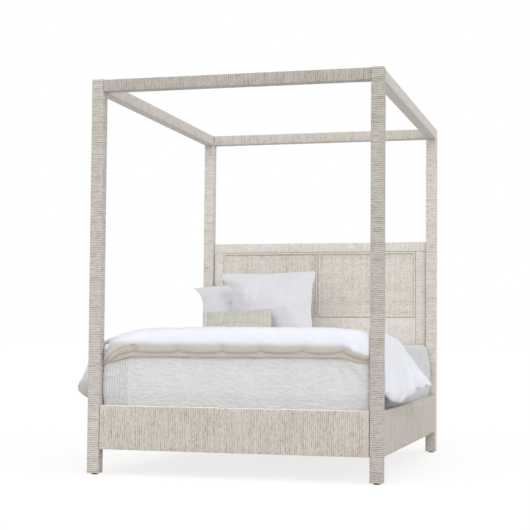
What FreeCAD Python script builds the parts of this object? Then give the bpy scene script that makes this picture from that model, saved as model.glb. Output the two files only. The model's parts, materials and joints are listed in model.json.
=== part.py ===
import FreeCAD, Part
import math
import os
from types import SimpleNamespace
import Sketcher

# Queen size canopy bed wrapped in twisted rope, with its foundation, mattress and bedding.
# +Z is up and the floor is Z = 0. The foot end faces -Y, the head end +Y, and the origin
# lies on the floor under the middle of the bed. Every length is in millimetres.

# Driving sizes, one row each: name, millimetres or a count, meaning
SIZES = (
    ("side_clearance", 23.5, "between the mattress and a side rail"),
    ("head_clearance", 21.7, "between the mattress and the headboard"),
    ("bed_height", 2195.0, "floor to the top of the posts"),
    ("post_side", 70.0, "square post over its rope"),
    ("wrap", 5.0, "thickness of the rope wrapping"),
    ("wrap_bevel", 4.0, "bevel of a wrapped edge"),
    ("flush_inset", 1.5, "boards and rails lie this far behind the faces of the posts"),
    ("rail_side", 67.0, "square canopy rail over its rope"),
    ("rail_gap", 0.5, "joint line between a canopy rail and a post"),
    ("board_gap", 2.5, "shadow line between a board and a post"),
    ("board_bottom", 140.0, "floor to the lower edge of the boards"),
    ("board_height", 242.5, "footboard and side rails"),
    ("footboard_thickness", 45.0, "footboard over its rope"),
    ("side_rail_thickness", 38.0, "side rail over its rope"),
    ("headboard_height", 1425.0, "floor to the top of the headboard"),
    ("headboard_thickness", 40.0, "headboard frame over its rope"),
    ("top_rail_height", 66.0, "top member of the headboard"),
    ("stile_width", 70.0, "upright member of the headboard"),
    ("panel_height", 451.0, "recessed panel of the headboard"),
    ("panel_recess", 8.0, "panel behind the face of the frame, front and back"),
    ("bead_width", 16.0, "rope bead round a panel"),
    ("bead_height", 10.0, "rope bead above its panel"),
    ("bead_bevel", 5.3, "bevelled front edges of a bead"),
    ("glide_radius", 18.0, "foot glide"),
    ("glide_height", 8.0, "foot glide under the wood"),
    ("glide_pin_radius", 3.4, "hexagonal pin of a glide, middle to corner"),
    ("glide_pin_length", 20.0, "pin of a glide in the wood"),
    ("stud_radius", 4.6, "hexagonal steel stud across a joint, middle to corner"),
    ("stud_length", 80.0, "steel stud, half of it in the post"),
    ("stud_offset", 12.0, "canopy studs above and below the middle of the rail"),
    ("stud_margin", 50.0, "board stud from the edge of its board"),
    ("stud_step", 35.0, "side rail stud inside the board stud"),
    ("bore_clearance", 0.2, "round a stud or a pin"),
    ("bore_end", 1.0, "beyond the end of a stud or a pin"),
    ("ledger_width", 25.0, "ledger inside a side rail"),
    ("ledger_height", 40.0, "ledger inside a side rail"),
    ("ledger_margin", 12.0, "end of a ledger from a post"),
    ("deck_rise", 60.0, "underside of the slats above the lower edge of the boards"),
    ("slat_count", 13.0, "number of slats"),
    ("slat_width", 70.0, "slat along the bed"),
    ("slat_thickness", 18.0, "slat"),
    ("slat_gap", 0.8, "end of a slat from a side rail"),
    ("slat_margin", 30.0, "first and last slat from the boards"),
    ("beam_width", 60.0, "centre beam under the slats"),
    ("beam_height", 55.0, "centre beam under the slats"),
    ("hanger_thickness", 3.0, "steel stirrup of the centre beam"),
    ("hanger_length", 40.0, "reach of a stirrup under the beam"),
    ("hanger_lip", 20.0, "plate of a stirrup beside the beam"),
    ("leg_side", 45.0, "centre leg"),
    ("leg_place", 560.0, "centre leg from the middle of the bed towards the head"),
    ("bracket_thickness", 4.0, "steel corner bracket"),
    ("bracket_leg", 80.0, "corner bracket along the side rail"),
    ("bracket_height", 120.0, "corner bracket"),
    ("bracket_lift", 17.0, "corner bracket above the slats"),
    ("bracket_edge", 4.0, "corner bracket from the inner corner of the post"),
    ("mattress_width", 1524.0, "queen mattress and foundation"),
    ("mattress_length", 2032.0, "queen mattress and foundation"),
    ("mattress_height", 274.0, "mattress"),
    ("mattress_corner", 80.0, "corner of the mattress seen from above"),
    ("mattress_edge", 32.0, "bevelled edge of the mattress under its covers"),
    ("foundation_height", 220.0, "foundation under the mattress"),
    ("soft_gap", 0.3, "between a soft piece and its neighbour"),
    ("coverlet_thickness", 10.0, "quilted coverlet"),
    ("coverlet_gap", 3.0, "coverlet behind the footboard"),
    ("coverlet_bottom", 300.0, "floor to the tucked edge of the coverlet"),
    ("duvet_loft", 92.0, "duvet above the coverlet"),
    ("duvet_drop_thickness", 42.0, "duvet where it hangs at the sides"),
    ("duvet_overhang", 169.5, "widest fold of the duvet beyond the coverlet"),
    ("duvet_hem_height", 405.0, "floor to the hem at the sides"),
    ("duvet_length", 930.0, "folded duvet along the bed, behind the foot posts"),
    ("duvet_post_gap", 12.0, "duvet from the foot posts"),
    ("lip_overlap", 40.0, "lip of the duvet let into its main part"),
    ("lip_bottom", 656.0, "floor to the lower edge of the duvet at the foot"),
    ("lip_front_gap", 3.0, "duvet behind the front faces of the posts"),
    ("back_pillow_width", 660.0, "pillow against the headboard"),
    ("back_pillow_height", 500.0, "pillow against the headboard"),
    ("back_pillow_thickness", 150.0, "pillow against the headboard"),
    ("back_pillow_side", 565.0, "middle of the back pillow left of the middle of the bed"),
    ("back_pillow_foot", 307.0, "foot of the back pillow from the headboard"),
    ("sham_width", 664.0, "big pillow"),
    ("sham_height", 510.0, "big pillow"),
    ("sham_thickness", 160.0, "big pillow"),
    ("sham_side", 288.0, "middle of the big pillow left of the middle of the bed"),
    ("sham_foot", 415.0, "foot of the big pillow from the headboard"),
    ("lumbar_width", 450.0, "lumbar cushion"),
    ("lumbar_height", 305.0, "lumbar cushion"),
    ("lumbar_thickness", 110.0, "lumbar cushion"),
    ("lumbar_side", 439.0, "middle of the lumbar cushion left of the middle of the bed"),
    ("lumbar_foot", 652.0, "foot of the lumbar cushion from the headboard"),
)

# A pillow from the middle of its back to the middle of its face: share of half its thickness,
# share of its outline
PILLOW_LEVEL_SHARES = (
    (-1.00, 0.34),
    (-0.78, 0.66),
    (-0.42, 0.86),
    (0.00, 1.00),
    (0.42, 0.86),
    (0.78, 0.66),
    (1.00, 0.34),
)

# How far the middle of a pillow's seam is drawn in at its sides and at its top and foot, as
# shares of its height
PILLOW_SIDE_DRAW_SHARE = 0.115
PILLOW_END_DRAW_SHARE = 0.012

# How each pillow stands: degrees of lean from upright, share of its height by which its
# left side sinks
PILLOW_POSES = {"back_pillow": (32.0, 0.08), "sham": (18.0, 0.016), "lumbar": (41.0, 0.02)}

# The duvet from foot to head: place along it, then share of the overhang and height of the
# hem on the left and on the right, and how far its side has slackened from a full fall to
# a slope
FOLD_SHARES = (
    (0.00, 0.75, 1.06, 0.39, 1.15, 0.00),
    (0.08, 0.98, 1.03, 0.47, 1.08, 0.00),
    (0.20, 0.92, 1.02, 0.58, 1.03, 0.00),
    (0.34, 0.75, 1.05, 0.64, 0.99, 0.00),
    (0.46, 0.79, 1.07, 0.69, 1.02, 0.05),
    (0.58, 0.70, 1.08, 0.75, 1.09, 0.15),
    (0.70, 0.73, 1.10, 0.81, 1.17, 0.35),
    (0.85, 0.81, 1.12, 0.92, 1.18, 0.70),
    (1.00, 0.87, 1.15, 1.00, 1.19, 1.00),
)

# Points of the outer line of half a duvet section, from crown to hem, first for a full side
# and then for a slack one: share of the half coverlet, of the overhang beyond it, of the fall
OUTLINE_SHARES = (
    ((0.730, 0.00, 0.020), (0.730, 0.00, 0.050)),
    ((0.900, 0.03, 0.055), (0.880, 0.00, 0.110)),
    ((1.000, 0.14, 0.170), (0.975, 0.03, 0.225)),
    ((1.000, 0.61, 0.440), (1.000, 0.40, 0.550)),
    ((1.000, 1.00, 0.770), (1.000, 0.92, 0.900)),
    ((1.000, 0.96, 0.930), (1.000, 1.00, 0.970)),
    ((1.000, 0.75, 1.000), (1.000, 0.86, 1.000)),
)

# The lip at the foot, along its half length: place, height of its top and depth of its edge
LIP_SHARES = (
    (-1.00, 0.55, 0.13),
    (-0.80, 0.86, 0.05),
    (-0.52, 0.98, -0.02),
    (-0.20, 1.00, 0.03),
    (0.15, 1.00, -0.02),
    (0.50, 0.99, 0.03),
    (0.82, 0.96, 0.02),
    (1.00, 0.88, 0.12),
)

# The outer line of the lip: share of its depth from the front, share of its height
LIP_TOP_SHARES = ((0.62, 0.985), (0.20, 0.84), (0.00, 0.50))
LIP_ROLL_SHARES = ((0.035, 0.27), (0.16, 0.165))
LIP_FOLD_SHARES = ((0.20, 0.06), (0.33, 0.00))

SIDES = (("left", -1), ("right", 1))
ENDS = (("foot", -1), ("head", 1))
QUARTER_TURN = 90
HEXAGON = 6
GLIDE_SIDES = 16
DIAGONAL = math.sqrt(0.5)

doc = FreeCAD.newDocument("CanopyBed")
sheet = doc.addObject("Spreadsheet::Sheet", "Sizes")
pieces = []


# Lengths that carry their formula

def both(thing):
    """The number and the formula of a length, or of a plain factor."""
    if isinstance(thing, Length):
        return thing.value, thing.formula
    return float(thing), repr(float(thing))


class Length:
    """A length in millimetres together with the spreadsheet formula that gives it."""

    def __init__(self, value, formula):
        self.value = value
        self.formula = formula

    def __add__(self, other):
        value, formula = both(other)
        return Length(self.value + value, "(%s + %s)" % (self.formula, formula))

    def __sub__(self, other):
        value, formula = both(other)
        return Length(self.value - value, "(%s - %s)" % (self.formula, formula))

    def __mul__(self, other):
        value, formula = both(other)
        return Length(self.value * value, "(%s * %s)" % (self.formula, formula))

    def __truediv__(self, other):
        value, formula = both(other)
        return Length(self.value / value, "(%s / %s)" % (self.formula, formula))

    def __neg__(self):
        return Length(-self.value, "(-1 * %s)" % self.formula)

    __rmul__ = __mul__


def fill_sheet():
    """Writes each driving size with its alias and meaning, and returns them as lengths."""
    lengths = SimpleNamespace()
    for row, (alias, number, meaning) in enumerate(SIZES, start=1):
        sheet.set("A%d" % row, alias)
        sheet.set("B%d" % row, str(number))
        sheet.setAlias("B%d" % row, alias)
        sheet.set("C%d" % row, meaning)
    doc.recompute()
    for alias, _, _ in SIZES:
        setattr(lengths, alias, Length(float(sheet.get(alias)), "Sizes." + alias))
    return lengths


S = fill_sheet()
ZERO = Length(0.0, "0")

# The bed over its posts follows from the mattress, and places and spans follow from that
coverlet_shell = S.coverlet_thickness + S.soft_gap
side_rail_inner_x = S.mattress_width / 2 + S.side_clearance
bed_width = (side_rail_inner_x + S.side_rail_thickness + S.flush_inset) * 2
inner_length = S.coverlet_gap + coverlet_shell + S.mattress_length + S.head_clearance
bed_depth = inner_length + S.footboard_thickness + S.headboard_thickness + S.flush_inset * 2
post_x = bed_width / 2 - S.post_side / 2
post_y = bed_depth / 2 - S.post_side / 2
joint_x = bed_width / 2 - S.post_side
joint_y = bed_depth / 2 - S.post_side
side_rail_x = side_rail_inner_x + S.side_rail_thickness / 2
footboard_inner_y = S.flush_inset + S.footboard_thickness - bed_depth / 2
footboard_y = footboard_inner_y - S.footboard_thickness / 2
headboard_front_y = bed_depth / 2 - S.flush_inset - S.headboard_thickness
headboard_y = headboard_front_y + S.headboard_thickness / 2
board_z = S.board_bottom + S.board_height / 2
board_length = joint_x * 2 - S.board_gap * 2
canopy_z = S.bed_height - S.post_side / 2
panel_top = S.headboard_height - S.top_rail_height
panel_bottom = panel_top - S.panel_height
panel_width = board_length / 2 - S.stile_width
deck_z = S.board_bottom + S.deck_rise
deck_top = deck_z + S.slat_thickness
beam_bottom = deck_z - S.beam_height
mattress_bottom = deck_top + S.soft_gap + S.foundation_height + S.soft_gap
mattress_top = mattress_bottom + S.mattress_height
coverlet_foot_y = footboard_inner_y + S.coverlet_gap
mattress_y = coverlet_foot_y + coverlet_shell + S.mattress_length / 2
coverlet_top = mattress_top + coverlet_shell
coverlet_half = S.mattress_width / 2 + coverlet_shell
coverlet_edge = S.mattress_edge + S.coverlet_thickness


# Building blocks

def bind(thing, prop, length):
    """Ties one property of an object to a formula of driving sizes."""
    thing.setExpression(prop, length.formula)


def place(thing, point):
    """Ties the position of an object to three formulas."""
    for axis, length in zip("xyz", point):
        bind(thing, "Placement.Base." + axis, length)


def keep(label, thing):
    """Names an object as a finished piece of the bed."""
    thing.Label = label
    pieces.append(thing)
    return thing


def group(label, things):
    """Like pieces that share one node."""
    together = doc.addObject("Part::Compound", label)
    together.Links = things
    return keep(label, together)


def box(name, spans, centre):
    """A box with its middle at a point."""
    block = doc.addObject("Part::Box", name)
    for prop, span in zip(("Length", "Width", "Height"), spans):
        bind(block, prop, span)
    place(block, [middle - span / 2 for middle, span in zip(centre, spans)])
    return block


def rod(name, sides, radius, length, start, along):
    """A rod with flat sides from a start point along x, y or z."""
    bar = doc.addObject("Part::Prism", name)
    if along == "x":
        bar.Placement.Rotation = FreeCAD.Rotation(FreeCAD.Vector(0, 1, 0), QUARTER_TURN)
    if along == "y":
        bar.Placement.Rotation = FreeCAD.Rotation(FreeCAD.Vector(1, 0, 0), -QUARTER_TURN)
    bar.Polygon = sides
    bind(bar, "Circumradius", radius)
    bind(bar, "Height", length)
    place(bar, start)
    return bar


def fuse(name, things):
    """Several shapes joined into one."""
    whole = doc.addObject("Part::MultiFuse", name)
    whole.Shapes = things
    return whole


def cut(name, base, tools):
    """A base with its tools taken away."""
    result = doc.addObject("Part::Cut", name)
    result.Base = base
    result.Tool = tools[0] if len(tools) == 1 else fuse(name + "_tools", tools)
    return result


def origin_feature(body, role):
    """A plane or axis of a body's own origin."""
    return [feature for feature in body.Origin.OriginFeatures if feature.Role == role][0]


def new_sketch(body, name, plane):
    """An empty sketch on an origin plane of its body."""
    sketch = body.newObject("Sketcher::SketchObject", name)
    sketch.AttachmentSupport = [(origin_feature(body, plane), "")]
    sketch.MapMode = "FlatFace"
    return sketch


def dimension(sketch, name, length, kind, *places):
    """Adds a driving dimension to a sketch, named and tied to its formula."""
    index = sketch.addConstraint(Sketcher.Constraint(kind, *places, length.value))
    sketch.renameConstraint(index, name)
    bind(sketch, "Constraints." + name, length)


def rectangle(sketch, wide, high, name):
    """A rectangle about the origin of its sketch."""
    w, h = wide.value / 2, high.value / 2
    corners = [FreeCAD.Vector(x, y, 0) for x, y in ((-w, -h), (w, -h), (w, h), (-w, h))]
    first = sketch.GeometryCount
    for k in range(4):
        sketch.addGeometry(Part.LineSegment(corners[k], corners[(k + 1) % 4]), False)
    for k in range(4):
        following = first + (k + 1) % 4
        sketch.addConstraint(Sketcher.Constraint("Coincident", first + k, 2, following, 1))
        direction = "Vertical" if k % 2 else "Horizontal"
        sketch.addConstraint(Sketcher.Constraint(direction, first + k))
    sketch.addConstraint(Sketcher.Constraint("Symmetric", first, 1, first + 2, 1, -1, 1))
    dimension(sketch, name + "Wide", wide, "DistanceX", first, 1, first, 2)
    dimension(sketch, name + "High", high, "DistanceY", first + 1, 1, first + 1, 2)


def bevelled_rectangle(sketch, wide, high, bevel, name):
    """A rectangle about the origin of its sketch, with its four corners cut off equally."""
    w, h, c = wide.value / 2, high.value / 2, bevel.value
    points = ((c - w, -h), (w - c, -h), (w, c - h), (w, h - c),
              (w - c, h), (c - w, h), (-w, h - c), (-w, c - h))
    corners = [FreeCAD.Vector(x, y, 0) for x, y in points]
    first = sketch.GeometryCount
    for k in range(8):
        sketch.addGeometry(Part.LineSegment(corners[k], corners[(k + 1) % 8]), False)
    for k in range(8):
        following = first + (k + 1) % 8
        sketch.addConstraint(Sketcher.Constraint("Coincident", first + k, 2, following, 1))
    for k in range(4):
        direction = "Vertical" if k % 2 else "Horizontal"
        sketch.addConstraint(Sketcher.Constraint(direction, first + 2 * k))
    for edge, other in ((first, first + 4), (first + 2, first + 6)):
        sketch.addConstraint(Sketcher.Constraint("Equal", edge, other))
    sketch.addConstraint(Sketcher.Constraint("Symmetric", first, 1, first + 4, 1, -1, 1))
    dimension(sketch, name + "Across", bevel, "DistanceX", first + 1, 1, first + 1, 2)
    dimension(sketch, name + "Up", bevel, "DistanceY", first + 1, 1, first + 1, 2)
    dimension(sketch, name + "Wide", wide, "DistanceX", first + 6, 1, first + 2, 1)
    dimension(sketch, name + "High", high, "DistanceY", first, 1, first + 4, 1)


def rounded_rectangle(sketch, wide, high, corner, name):
    """A rectangle about the origin of its sketch, with four equal rounded corners."""
    w, h, r = wide.value / 2, high.value / 2, corner.value
    first = sketch.GeometryCount
    normal = FreeCAD.Vector(0, 0, 1)
    sides = (((r - w, -h), (w - r, -h)), ((w, r - h), (w, h - r)),
             ((w - r, h), (r - w, h)), ((-w, h - r), (-w, r - h)))
    centres = ((w - r, r - h), (w - r, h - r), (r - w, h - r), (r - w, r - h))
    for k in range(4):
        start, end = [FreeCAD.Vector(x, y, 0) for x, y in sides[k]]
        sketch.addGeometry(Part.LineSegment(start, end), False)
        circle = Part.Circle(FreeCAD.Vector(*centres[k], 0), normal, r)
        angles = [math.radians(QUARTER_TURN * turn) for turn in (k - 1, k)]
        sketch.addGeometry(Part.ArcOfCircle(circle, *angles), False)
    for k in range(8):
        following = first + (k + 1) % 8
        sketch.addConstraint(Sketcher.Constraint("Tangent", first + k, 2, following, 1))
    for k in range(4):
        direction = "Vertical" if k % 2 else "Horizontal"
        sketch.addConstraint(Sketcher.Constraint(direction, first + 2 * k))
    for k in range(3):
        equal = Sketcher.Constraint("Equal", first + 2 * k + 1, first + 2 * k + 3)
        sketch.addConstraint(equal)
    sketch.addConstraint(Sketcher.Constraint("Symmetric", first, 1, first + 4, 1, -1, 1))
    dimension(sketch, name + "Corner", corner, "Radius", first + 1)
    dimension(sketch, name + "Wide", wide, "DistanceX", first + 6, 1, first + 2, 1)
    dimension(sketch, name + "High", high, "DistanceY", first, 1, first + 4, 1)


# Each run of a wrapped member: the plane of its section, and the two axes across it
RUNS = {"x": ("YZ_Plane", "y", "z"), "y": ("XZ_Plane", "x", "z"), "z": ("XY_Plane", "x", "y")}


def rope_tube(label, spans, run, centre):
    """Rope wound round a straight member: a tube with bevelled outer edges."""
    plane, across, up = RUNS[run]
    wide, high = spans["xyz".index(across)], spans["xyz".index(up)]
    body = doc.addObject("PartDesign::Body", label)
    sketch = new_sketch(body, label + "_section", plane)
    bevelled_rectangle(sketch, wide, high, S.wrap_bevel, "Outer")
    rectangle(sketch, wide - S.wrap * 2, high - S.wrap * 2, "Inner")
    pad = body.newObject("PartDesign::Pad", label + "_tube")
    pad.Profile = sketch
    pad.SideType = "Symmetric"
    bind(pad, "Length", spans["xyz".index(run)])
    place(body, centre)
    return body


def wrapped_member(name, spans, run, centre, core_bores=(), wrap_bores=()):
    """A wooden core and the rope round it, as two pieces."""
    inner = [span if axis == run else span - S.wrap * 2 for axis, span in zip("xyz", spans)]
    core = box(name + "_core_blank", inner, centre)
    if core_bores:
        core = cut(name + "_core", core, list(core_bores))
    keep(name + "_core", core)
    rope = rope_tube(name + "_rope_tube", spans, run, centre)
    if wrap_bores:
        rope = cut(name + "_rope", rope, list(wrap_bores))
    keep(name + "_rope", rope)


# Studs and their bores

def stud(name, face, along):
    """A stud centred on the face of a post, with the bore that takes it on both sides."""
    axis = "xyz".index(along)
    start = list(face)
    start[axis] = face[axis] - S.stud_length / 2
    steel = rod(name, HEXAGON, S.stud_radius, S.stud_length, start, along)
    start = list(start)
    start[axis] = start[axis] - S.bore_end
    bore = rod(name + "_bore", HEXAGON, S.stud_radius + S.bore_clearance,
               S.stud_length + S.bore_end * 2, start, along)
    return steel, bore


def stud_heights():
    """Where the studs cross each kind of joint, as heights above the floor."""
    board_top = S.board_bottom + S.board_height
    return {
        "footboard": (S.board_bottom + S.stud_margin, board_top - S.stud_margin),
        "side_rail": (S.board_bottom + S.stud_margin + S.stud_step,
                      board_top - S.stud_margin - S.stud_step),
        "stile": (S.board_bottom + S.stud_margin, panel_bottom - S.stud_margin),
        "top_rail": (S.headboard_height - S.top_rail_height / 2,),
    }


def make_studs():
    """Every stud of the bed, and its bores sorted by the pieces that they enter."""
    bores = {}
    canopy_studs = []
    board_studs = []

    def add(store, name, face, along, hosts):
        steel, bore = stud(name, face, along)
        store.append(steel)
        for host in hosts:
            bores.setdefault(host, []).append(bore)

    heights = stud_heights()
    for side, x_sign in SIDES:
        for end, y_sign in ENDS:
            post = "post_%s_%s" % (end, side)
            corner = "%s_%s" % (end, side)
            face = (joint_x * x_sign, post_y * y_sign, canopy_z + S.stud_offset)
            add(canopy_studs, "canopy_stud_across_" + corner, face, "x",
                (post, "canopy_rail_" + end))
            face = (post_x * x_sign, joint_y * y_sign, canopy_z - S.stud_offset)
            add(canopy_studs, "canopy_stud_along_" + corner, face, "y",
                (post, "canopy_rail_" + side))
            for k, height in enumerate(heights["side_rail"]):
                face = (side_rail_x * x_sign, joint_y * y_sign, height)
                add(board_studs, "side_rail_stud_%s_%d" % (corner, k), face, "y",
                    (post, "side_rail_" + side))
        for k, height in enumerate(heights["footboard"]):
            face = (joint_x * x_sign, footboard_y, height)
            add(board_studs, "footboard_stud_%s_%d" % (side, k), face, "x",
                ("post_foot_" + side, "footboard"))
        for host in ("stile", "top_rail"):
            for k, height in enumerate(heights[host]):
                piece = "headboard_stile_" + side if host == "stile" else "headboard_top_rail"
                face = (joint_x * x_sign, headboard_y, height)
                add(board_studs, "headboard_%s_stud_%s_%d" % (host, side, k), face, "x",
                    ("post_head_" + side, piece))
    group("canopy_studs", canopy_studs)
    group("board_studs", board_studs)
    return bores


# Frame

def post_rope(label, x, y):
    """Rope round a post, closed over its top end."""
    length = S.bed_height - S.glide_height
    body = doc.addObject("PartDesign::Body", label)
    outline = new_sketch(body, label + "_outline", "XY_Plane")
    bevelled_rectangle(outline, S.post_side, S.post_side, S.wrap_bevel, "Outer")
    pad = body.newObject("PartDesign::Pad", label + "_pad")
    pad.Profile = outline
    bind(pad, "Length", length)
    inside = new_sketch(body, label + "_inside", "XY_Plane")
    rectangle(inside, S.post_side - S.wrap * 2, S.post_side - S.wrap * 2, "Inner")
    pocket = body.newObject("PartDesign::Pocket", label + "_pocket")
    pocket.Profile = inside
    pocket.Reversed = True
    bind(pocket, "Length", length - S.wrap)
    place(body, (x, y, S.glide_height))
    return body


def glide(label, x, y):
    """A round glide with the pin that holds it in the end grain; returns both and the bore."""
    foot = rod(label + "_foot", GLIDE_SIDES, S.glide_radius, S.glide_height, (x, y, ZERO), "z")
    pin_length = S.glide_height + S.glide_pin_length
    pin = rod(label + "_pin", HEXAGON, S.glide_pin_radius, pin_length, (x, y, ZERO), "z")
    bore = rod(label + "_bore", HEXAGON, S.glide_pin_radius + S.bore_clearance,
               pin_length + S.bore_end, (x, y, ZERO), "z")
    return fuse(label, [foot, pin]), bore


def make_posts(bores):
    """Four posts: a wooden core, the rope round it and the glide under it."""
    for side, x_sign in SIDES:
        for end, y_sign in ENDS:
            name = "post_%s_%s" % (end, side)
            x, y = post_x * x_sign, post_y * y_sign
            foot, foot_bore = glide("glide_%s_%s" % (end, side), x, y)
            keep("glide_%s_%s" % (end, side), foot)
            side_span = S.post_side - S.wrap * 2
            length = S.bed_height - S.wrap - S.glide_height
            core = box(name + "_core_blank", (side_span, side_span, length),
                       (x, y, S.glide_height + length / 2))
            keep(name + "_core", cut(name + "_core", core, bores[name] + [foot_bore]))
            rope = post_rope(name + "_rope_sleeve", x, y)
            keep(name + "_rope", cut(name + "_rope", rope, bores[name]))


def make_canopy(bores):
    """Four canopy rails between the tops of the posts."""
    across = joint_x * 2 - S.rail_gap * 2
    along = joint_y * 2 - S.rail_gap * 2
    for end, sign in ENDS:
        name = "canopy_rail_" + end
        wrapped_member(name, (across, S.rail_side, S.rail_side), "x",
                       (ZERO, post_y * sign, canopy_z), bores[name])
    for side, sign in SIDES:
        name = "canopy_rail_" + side
        wrapped_member(name, (S.rail_side, along, S.rail_side), "y",
                       (post_x * sign, ZERO, canopy_z), bores[name])


def make_boards(bores):
    """The footboard and the two side rails."""
    wrapped_member("footboard", (board_length, S.footboard_thickness, S.board_height), "x",
                   (ZERO, footboard_y, board_z), bores["footboard"])
    rail_length = joint_y * 2 - S.board_gap * 2
    for side, sign in SIDES:
        name = "side_rail_" + side
        wrapped_member(name, (S.side_rail_thickness, rail_length, S.board_height), "y",
                       (side_rail_x * sign, ZERO, board_z), bores[name])


def level_edges(shape, axis, place_on_axis):
    """Names of the edges that lie in one plane across an axis."""
    names = []
    for k, edge in enumerate(shape.Edges):
        low = getattr(edge.BoundBox, axis + "Min")
        high = getattr(edge.BoundBox, axis + "Max")
        if max(abs(low - place_on_axis), abs(high - place_on_axis)) < S.soft_gap.value:
            names.append("Edge%d" % (k + 1))
    return names


def bead(label, x):
    """A rope bead round one panel: a frame with its front edges taken off."""
    body = doc.addObject("PartDesign::Body", label + "_ring")
    sketch = new_sketch(body, label + "_frame", "XZ_Plane")
    rectangle(sketch, panel_width, S.panel_height, "Outer")
    rectangle(sketch, panel_width - S.bead_width * 2, S.panel_height - S.bead_width * 2, "Inner")
    pad = body.newObject("PartDesign::Pad", label + "_pad")
    pad.Profile = sketch
    bind(pad, "Length", S.bead_height)
    doc.recompute()
    crest = body.newObject("PartDesign::Chamfer", label + "_crest")
    crest.Base = (pad, level_edges(pad.Shape, "Y", -S.bead_height.value))
    bind(crest, "Size", S.bead_bevel)
    place(body, (x, headboard_front_y + S.panel_recess, panel_bottom + S.panel_height / 2))
    return body


def make_headboard(bores):
    """The headboard: a wrapped frame, two recessed panels and the bead round each."""
    thick = S.headboard_thickness
    top_z = S.headboard_height - S.top_rail_height / 2
    wrapped_member("headboard_top_rail", (board_length, thick, S.top_rail_height), "x",
                   (ZERO, headboard_y, top_z), bores["headboard_top_rail"])
    stile_height = panel_top - S.board_bottom
    for side, sign in SIDES:
        name = "headboard_stile_" + side
        x = (board_length / 2 - S.stile_width / 2) * sign
        wrapped_member(name, (S.stile_width, thick, stile_height), "z",
                       (x, headboard_y, S.board_bottom + stile_height / 2),
                       bores[name], bores[name])
    lower_height = panel_bottom - S.board_bottom
    wrapped_member("headboard_lower_board", (panel_width * 2, thick, lower_height), "x",
                   (ZERO, headboard_y, S.board_bottom + lower_height / 2))
    panel_z = panel_bottom + S.panel_height / 2
    panel_thickness = thick - S.panel_recess * 2
    for side, sign in SIDES:
        x = panel_width / 2 * sign
        keep("headboard_panel_" + side,
             box("headboard_panel_" + side, (panel_width, panel_thickness, S.panel_height),
                 (x, headboard_y, panel_z)))
        keep("headboard_bead_" + side, bead("headboard_bead_" + side, x))


# Support under the foundation

def make_deck():
    """Ledgers, slats, the centre beam in its stirrups, and its leg."""
    ledger_length = joint_y * 2 - S.ledger_margin * 2
    for side, sign in SIDES:
        x = (side_rail_inner_x - S.ledger_width / 2) * sign
        keep("ledger_" + side, box("ledger_" + side, (S.ledger_width, ledger_length, S.ledger_height),
                                   (x, ZERO, deck_z - S.ledger_height / 2)))
    first = footboard_inner_y + S.slat_margin + S.slat_width / 2
    last = headboard_front_y - S.slat_margin - S.slat_width / 2
    pitch = (last - first) / (S.slat_count - 1)
    slat_length = side_rail_inner_x * 2 - S.slat_gap * 2
    slats = []
    for k in range(int(S.slat_count.value)):
        slats.append(box("slat_%d" % (k + 1), (slat_length, S.slat_width, S.slat_thickness),
                         (ZERO, first + pitch * k, deck_z + S.slat_thickness / 2)))
    group("slats", slats)
    beam_length = headboard_front_y - footboard_inner_y - S.hanger_thickness * 2
    beam_y = (headboard_front_y + footboard_inner_y) / 2
    keep("centre_beam", box("centre_beam", (S.beam_width, beam_length, S.beam_height),
                            (ZERO, beam_y, deck_z - S.beam_height / 2)))
    make_hangers()
    make_leg()


def make_hangers():
    """A steel stirrup at each end of the centre beam."""
    stirrups = []
    thick = S.hanger_thickness
    for end, face, sign in (("foot", footboard_inner_y, 1), ("head", headboard_front_y, -1)):
        name = "beam_hanger_" + end
        middle = face + (thick + S.hanger_length / 2) * sign
        depth = S.beam_height + thick
        outer = box(name + "_outer", (S.beam_width + thick * 2, S.hanger_length, depth),
                    (ZERO, middle, deck_z - depth / 2))
        inner = box(name + "_inner", (S.beam_width, S.hanger_length, S.beam_height),
                    (ZERO, middle, deck_z - S.beam_height / 2))
        plate_width = S.beam_width + (thick + S.hanger_lip) * 2
        plate = box(name + "_plate", (plate_width, thick, depth),
                    (ZERO, face + thick / 2 * sign, deck_z - depth / 2))
        stirrups.append(fuse(name, [cut(name + "_channel", outer, [inner]), plate]))
    group("beam_hangers", stirrups)


def make_leg():
    """The leg under the centre beam, on its glide."""
    foot, bore = glide("leg_glide", ZERO, S.leg_place)
    keep("leg_glide", foot)
    length = beam_bottom - S.glide_height
    blank = box("centre_leg_blank", (S.leg_side, S.leg_side, length),
                (ZERO, S.leg_place, S.glide_height + length / 2))
    keep("centre_leg", cut("centre_leg", blank, [bore]))


def make_brackets():
    """A steel angle in each inner corner, from the side rail to the post."""
    angles = []
    z = deck_top + S.bracket_lift + S.bracket_height / 2
    thick = S.bracket_thickness
    for side, x_sign in SIDES:
        for end, y_sign in ENDS:
            name = "corner_bracket_%s_%s" % (end, side)
            rail_leg = box(name + "_rail_leg", (thick, S.bracket_leg, S.bracket_height),
                           ((side_rail_inner_x - thick / 2) * x_sign,
                            (joint_y - S.bracket_leg / 2) * y_sign, z))
            inner = joint_x + S.bracket_edge
            post_leg = box(name + "_post_leg",
                           (side_rail_inner_x - inner, thick, S.bracket_height),
                           ((side_rail_inner_x + inner) / 2 * x_sign,
                            (joint_y - thick / 2) * y_sign, z))
            angles.append(fuse(name, [rail_leg, post_leg]))
    group("corner_brackets", angles)


# Bedding

def slab(label, spans, corner, centre_bottom):
    """A slab with rounded corners seen from above; returns its body and its solid so far."""
    body = doc.addObject("PartDesign::Body", label)
    sketch = new_sketch(body, label + "_outline", "XY_Plane")
    rounded_rectangle(sketch, spans[0], spans[1], corner, "Outer")
    pad = body.newObject("PartDesign::Pad", label + "_pad")
    pad.Profile = sketch
    bind(pad, "Length", spans[2])
    place(body, centre_bottom)
    doc.recompute()
    return body, pad


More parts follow.
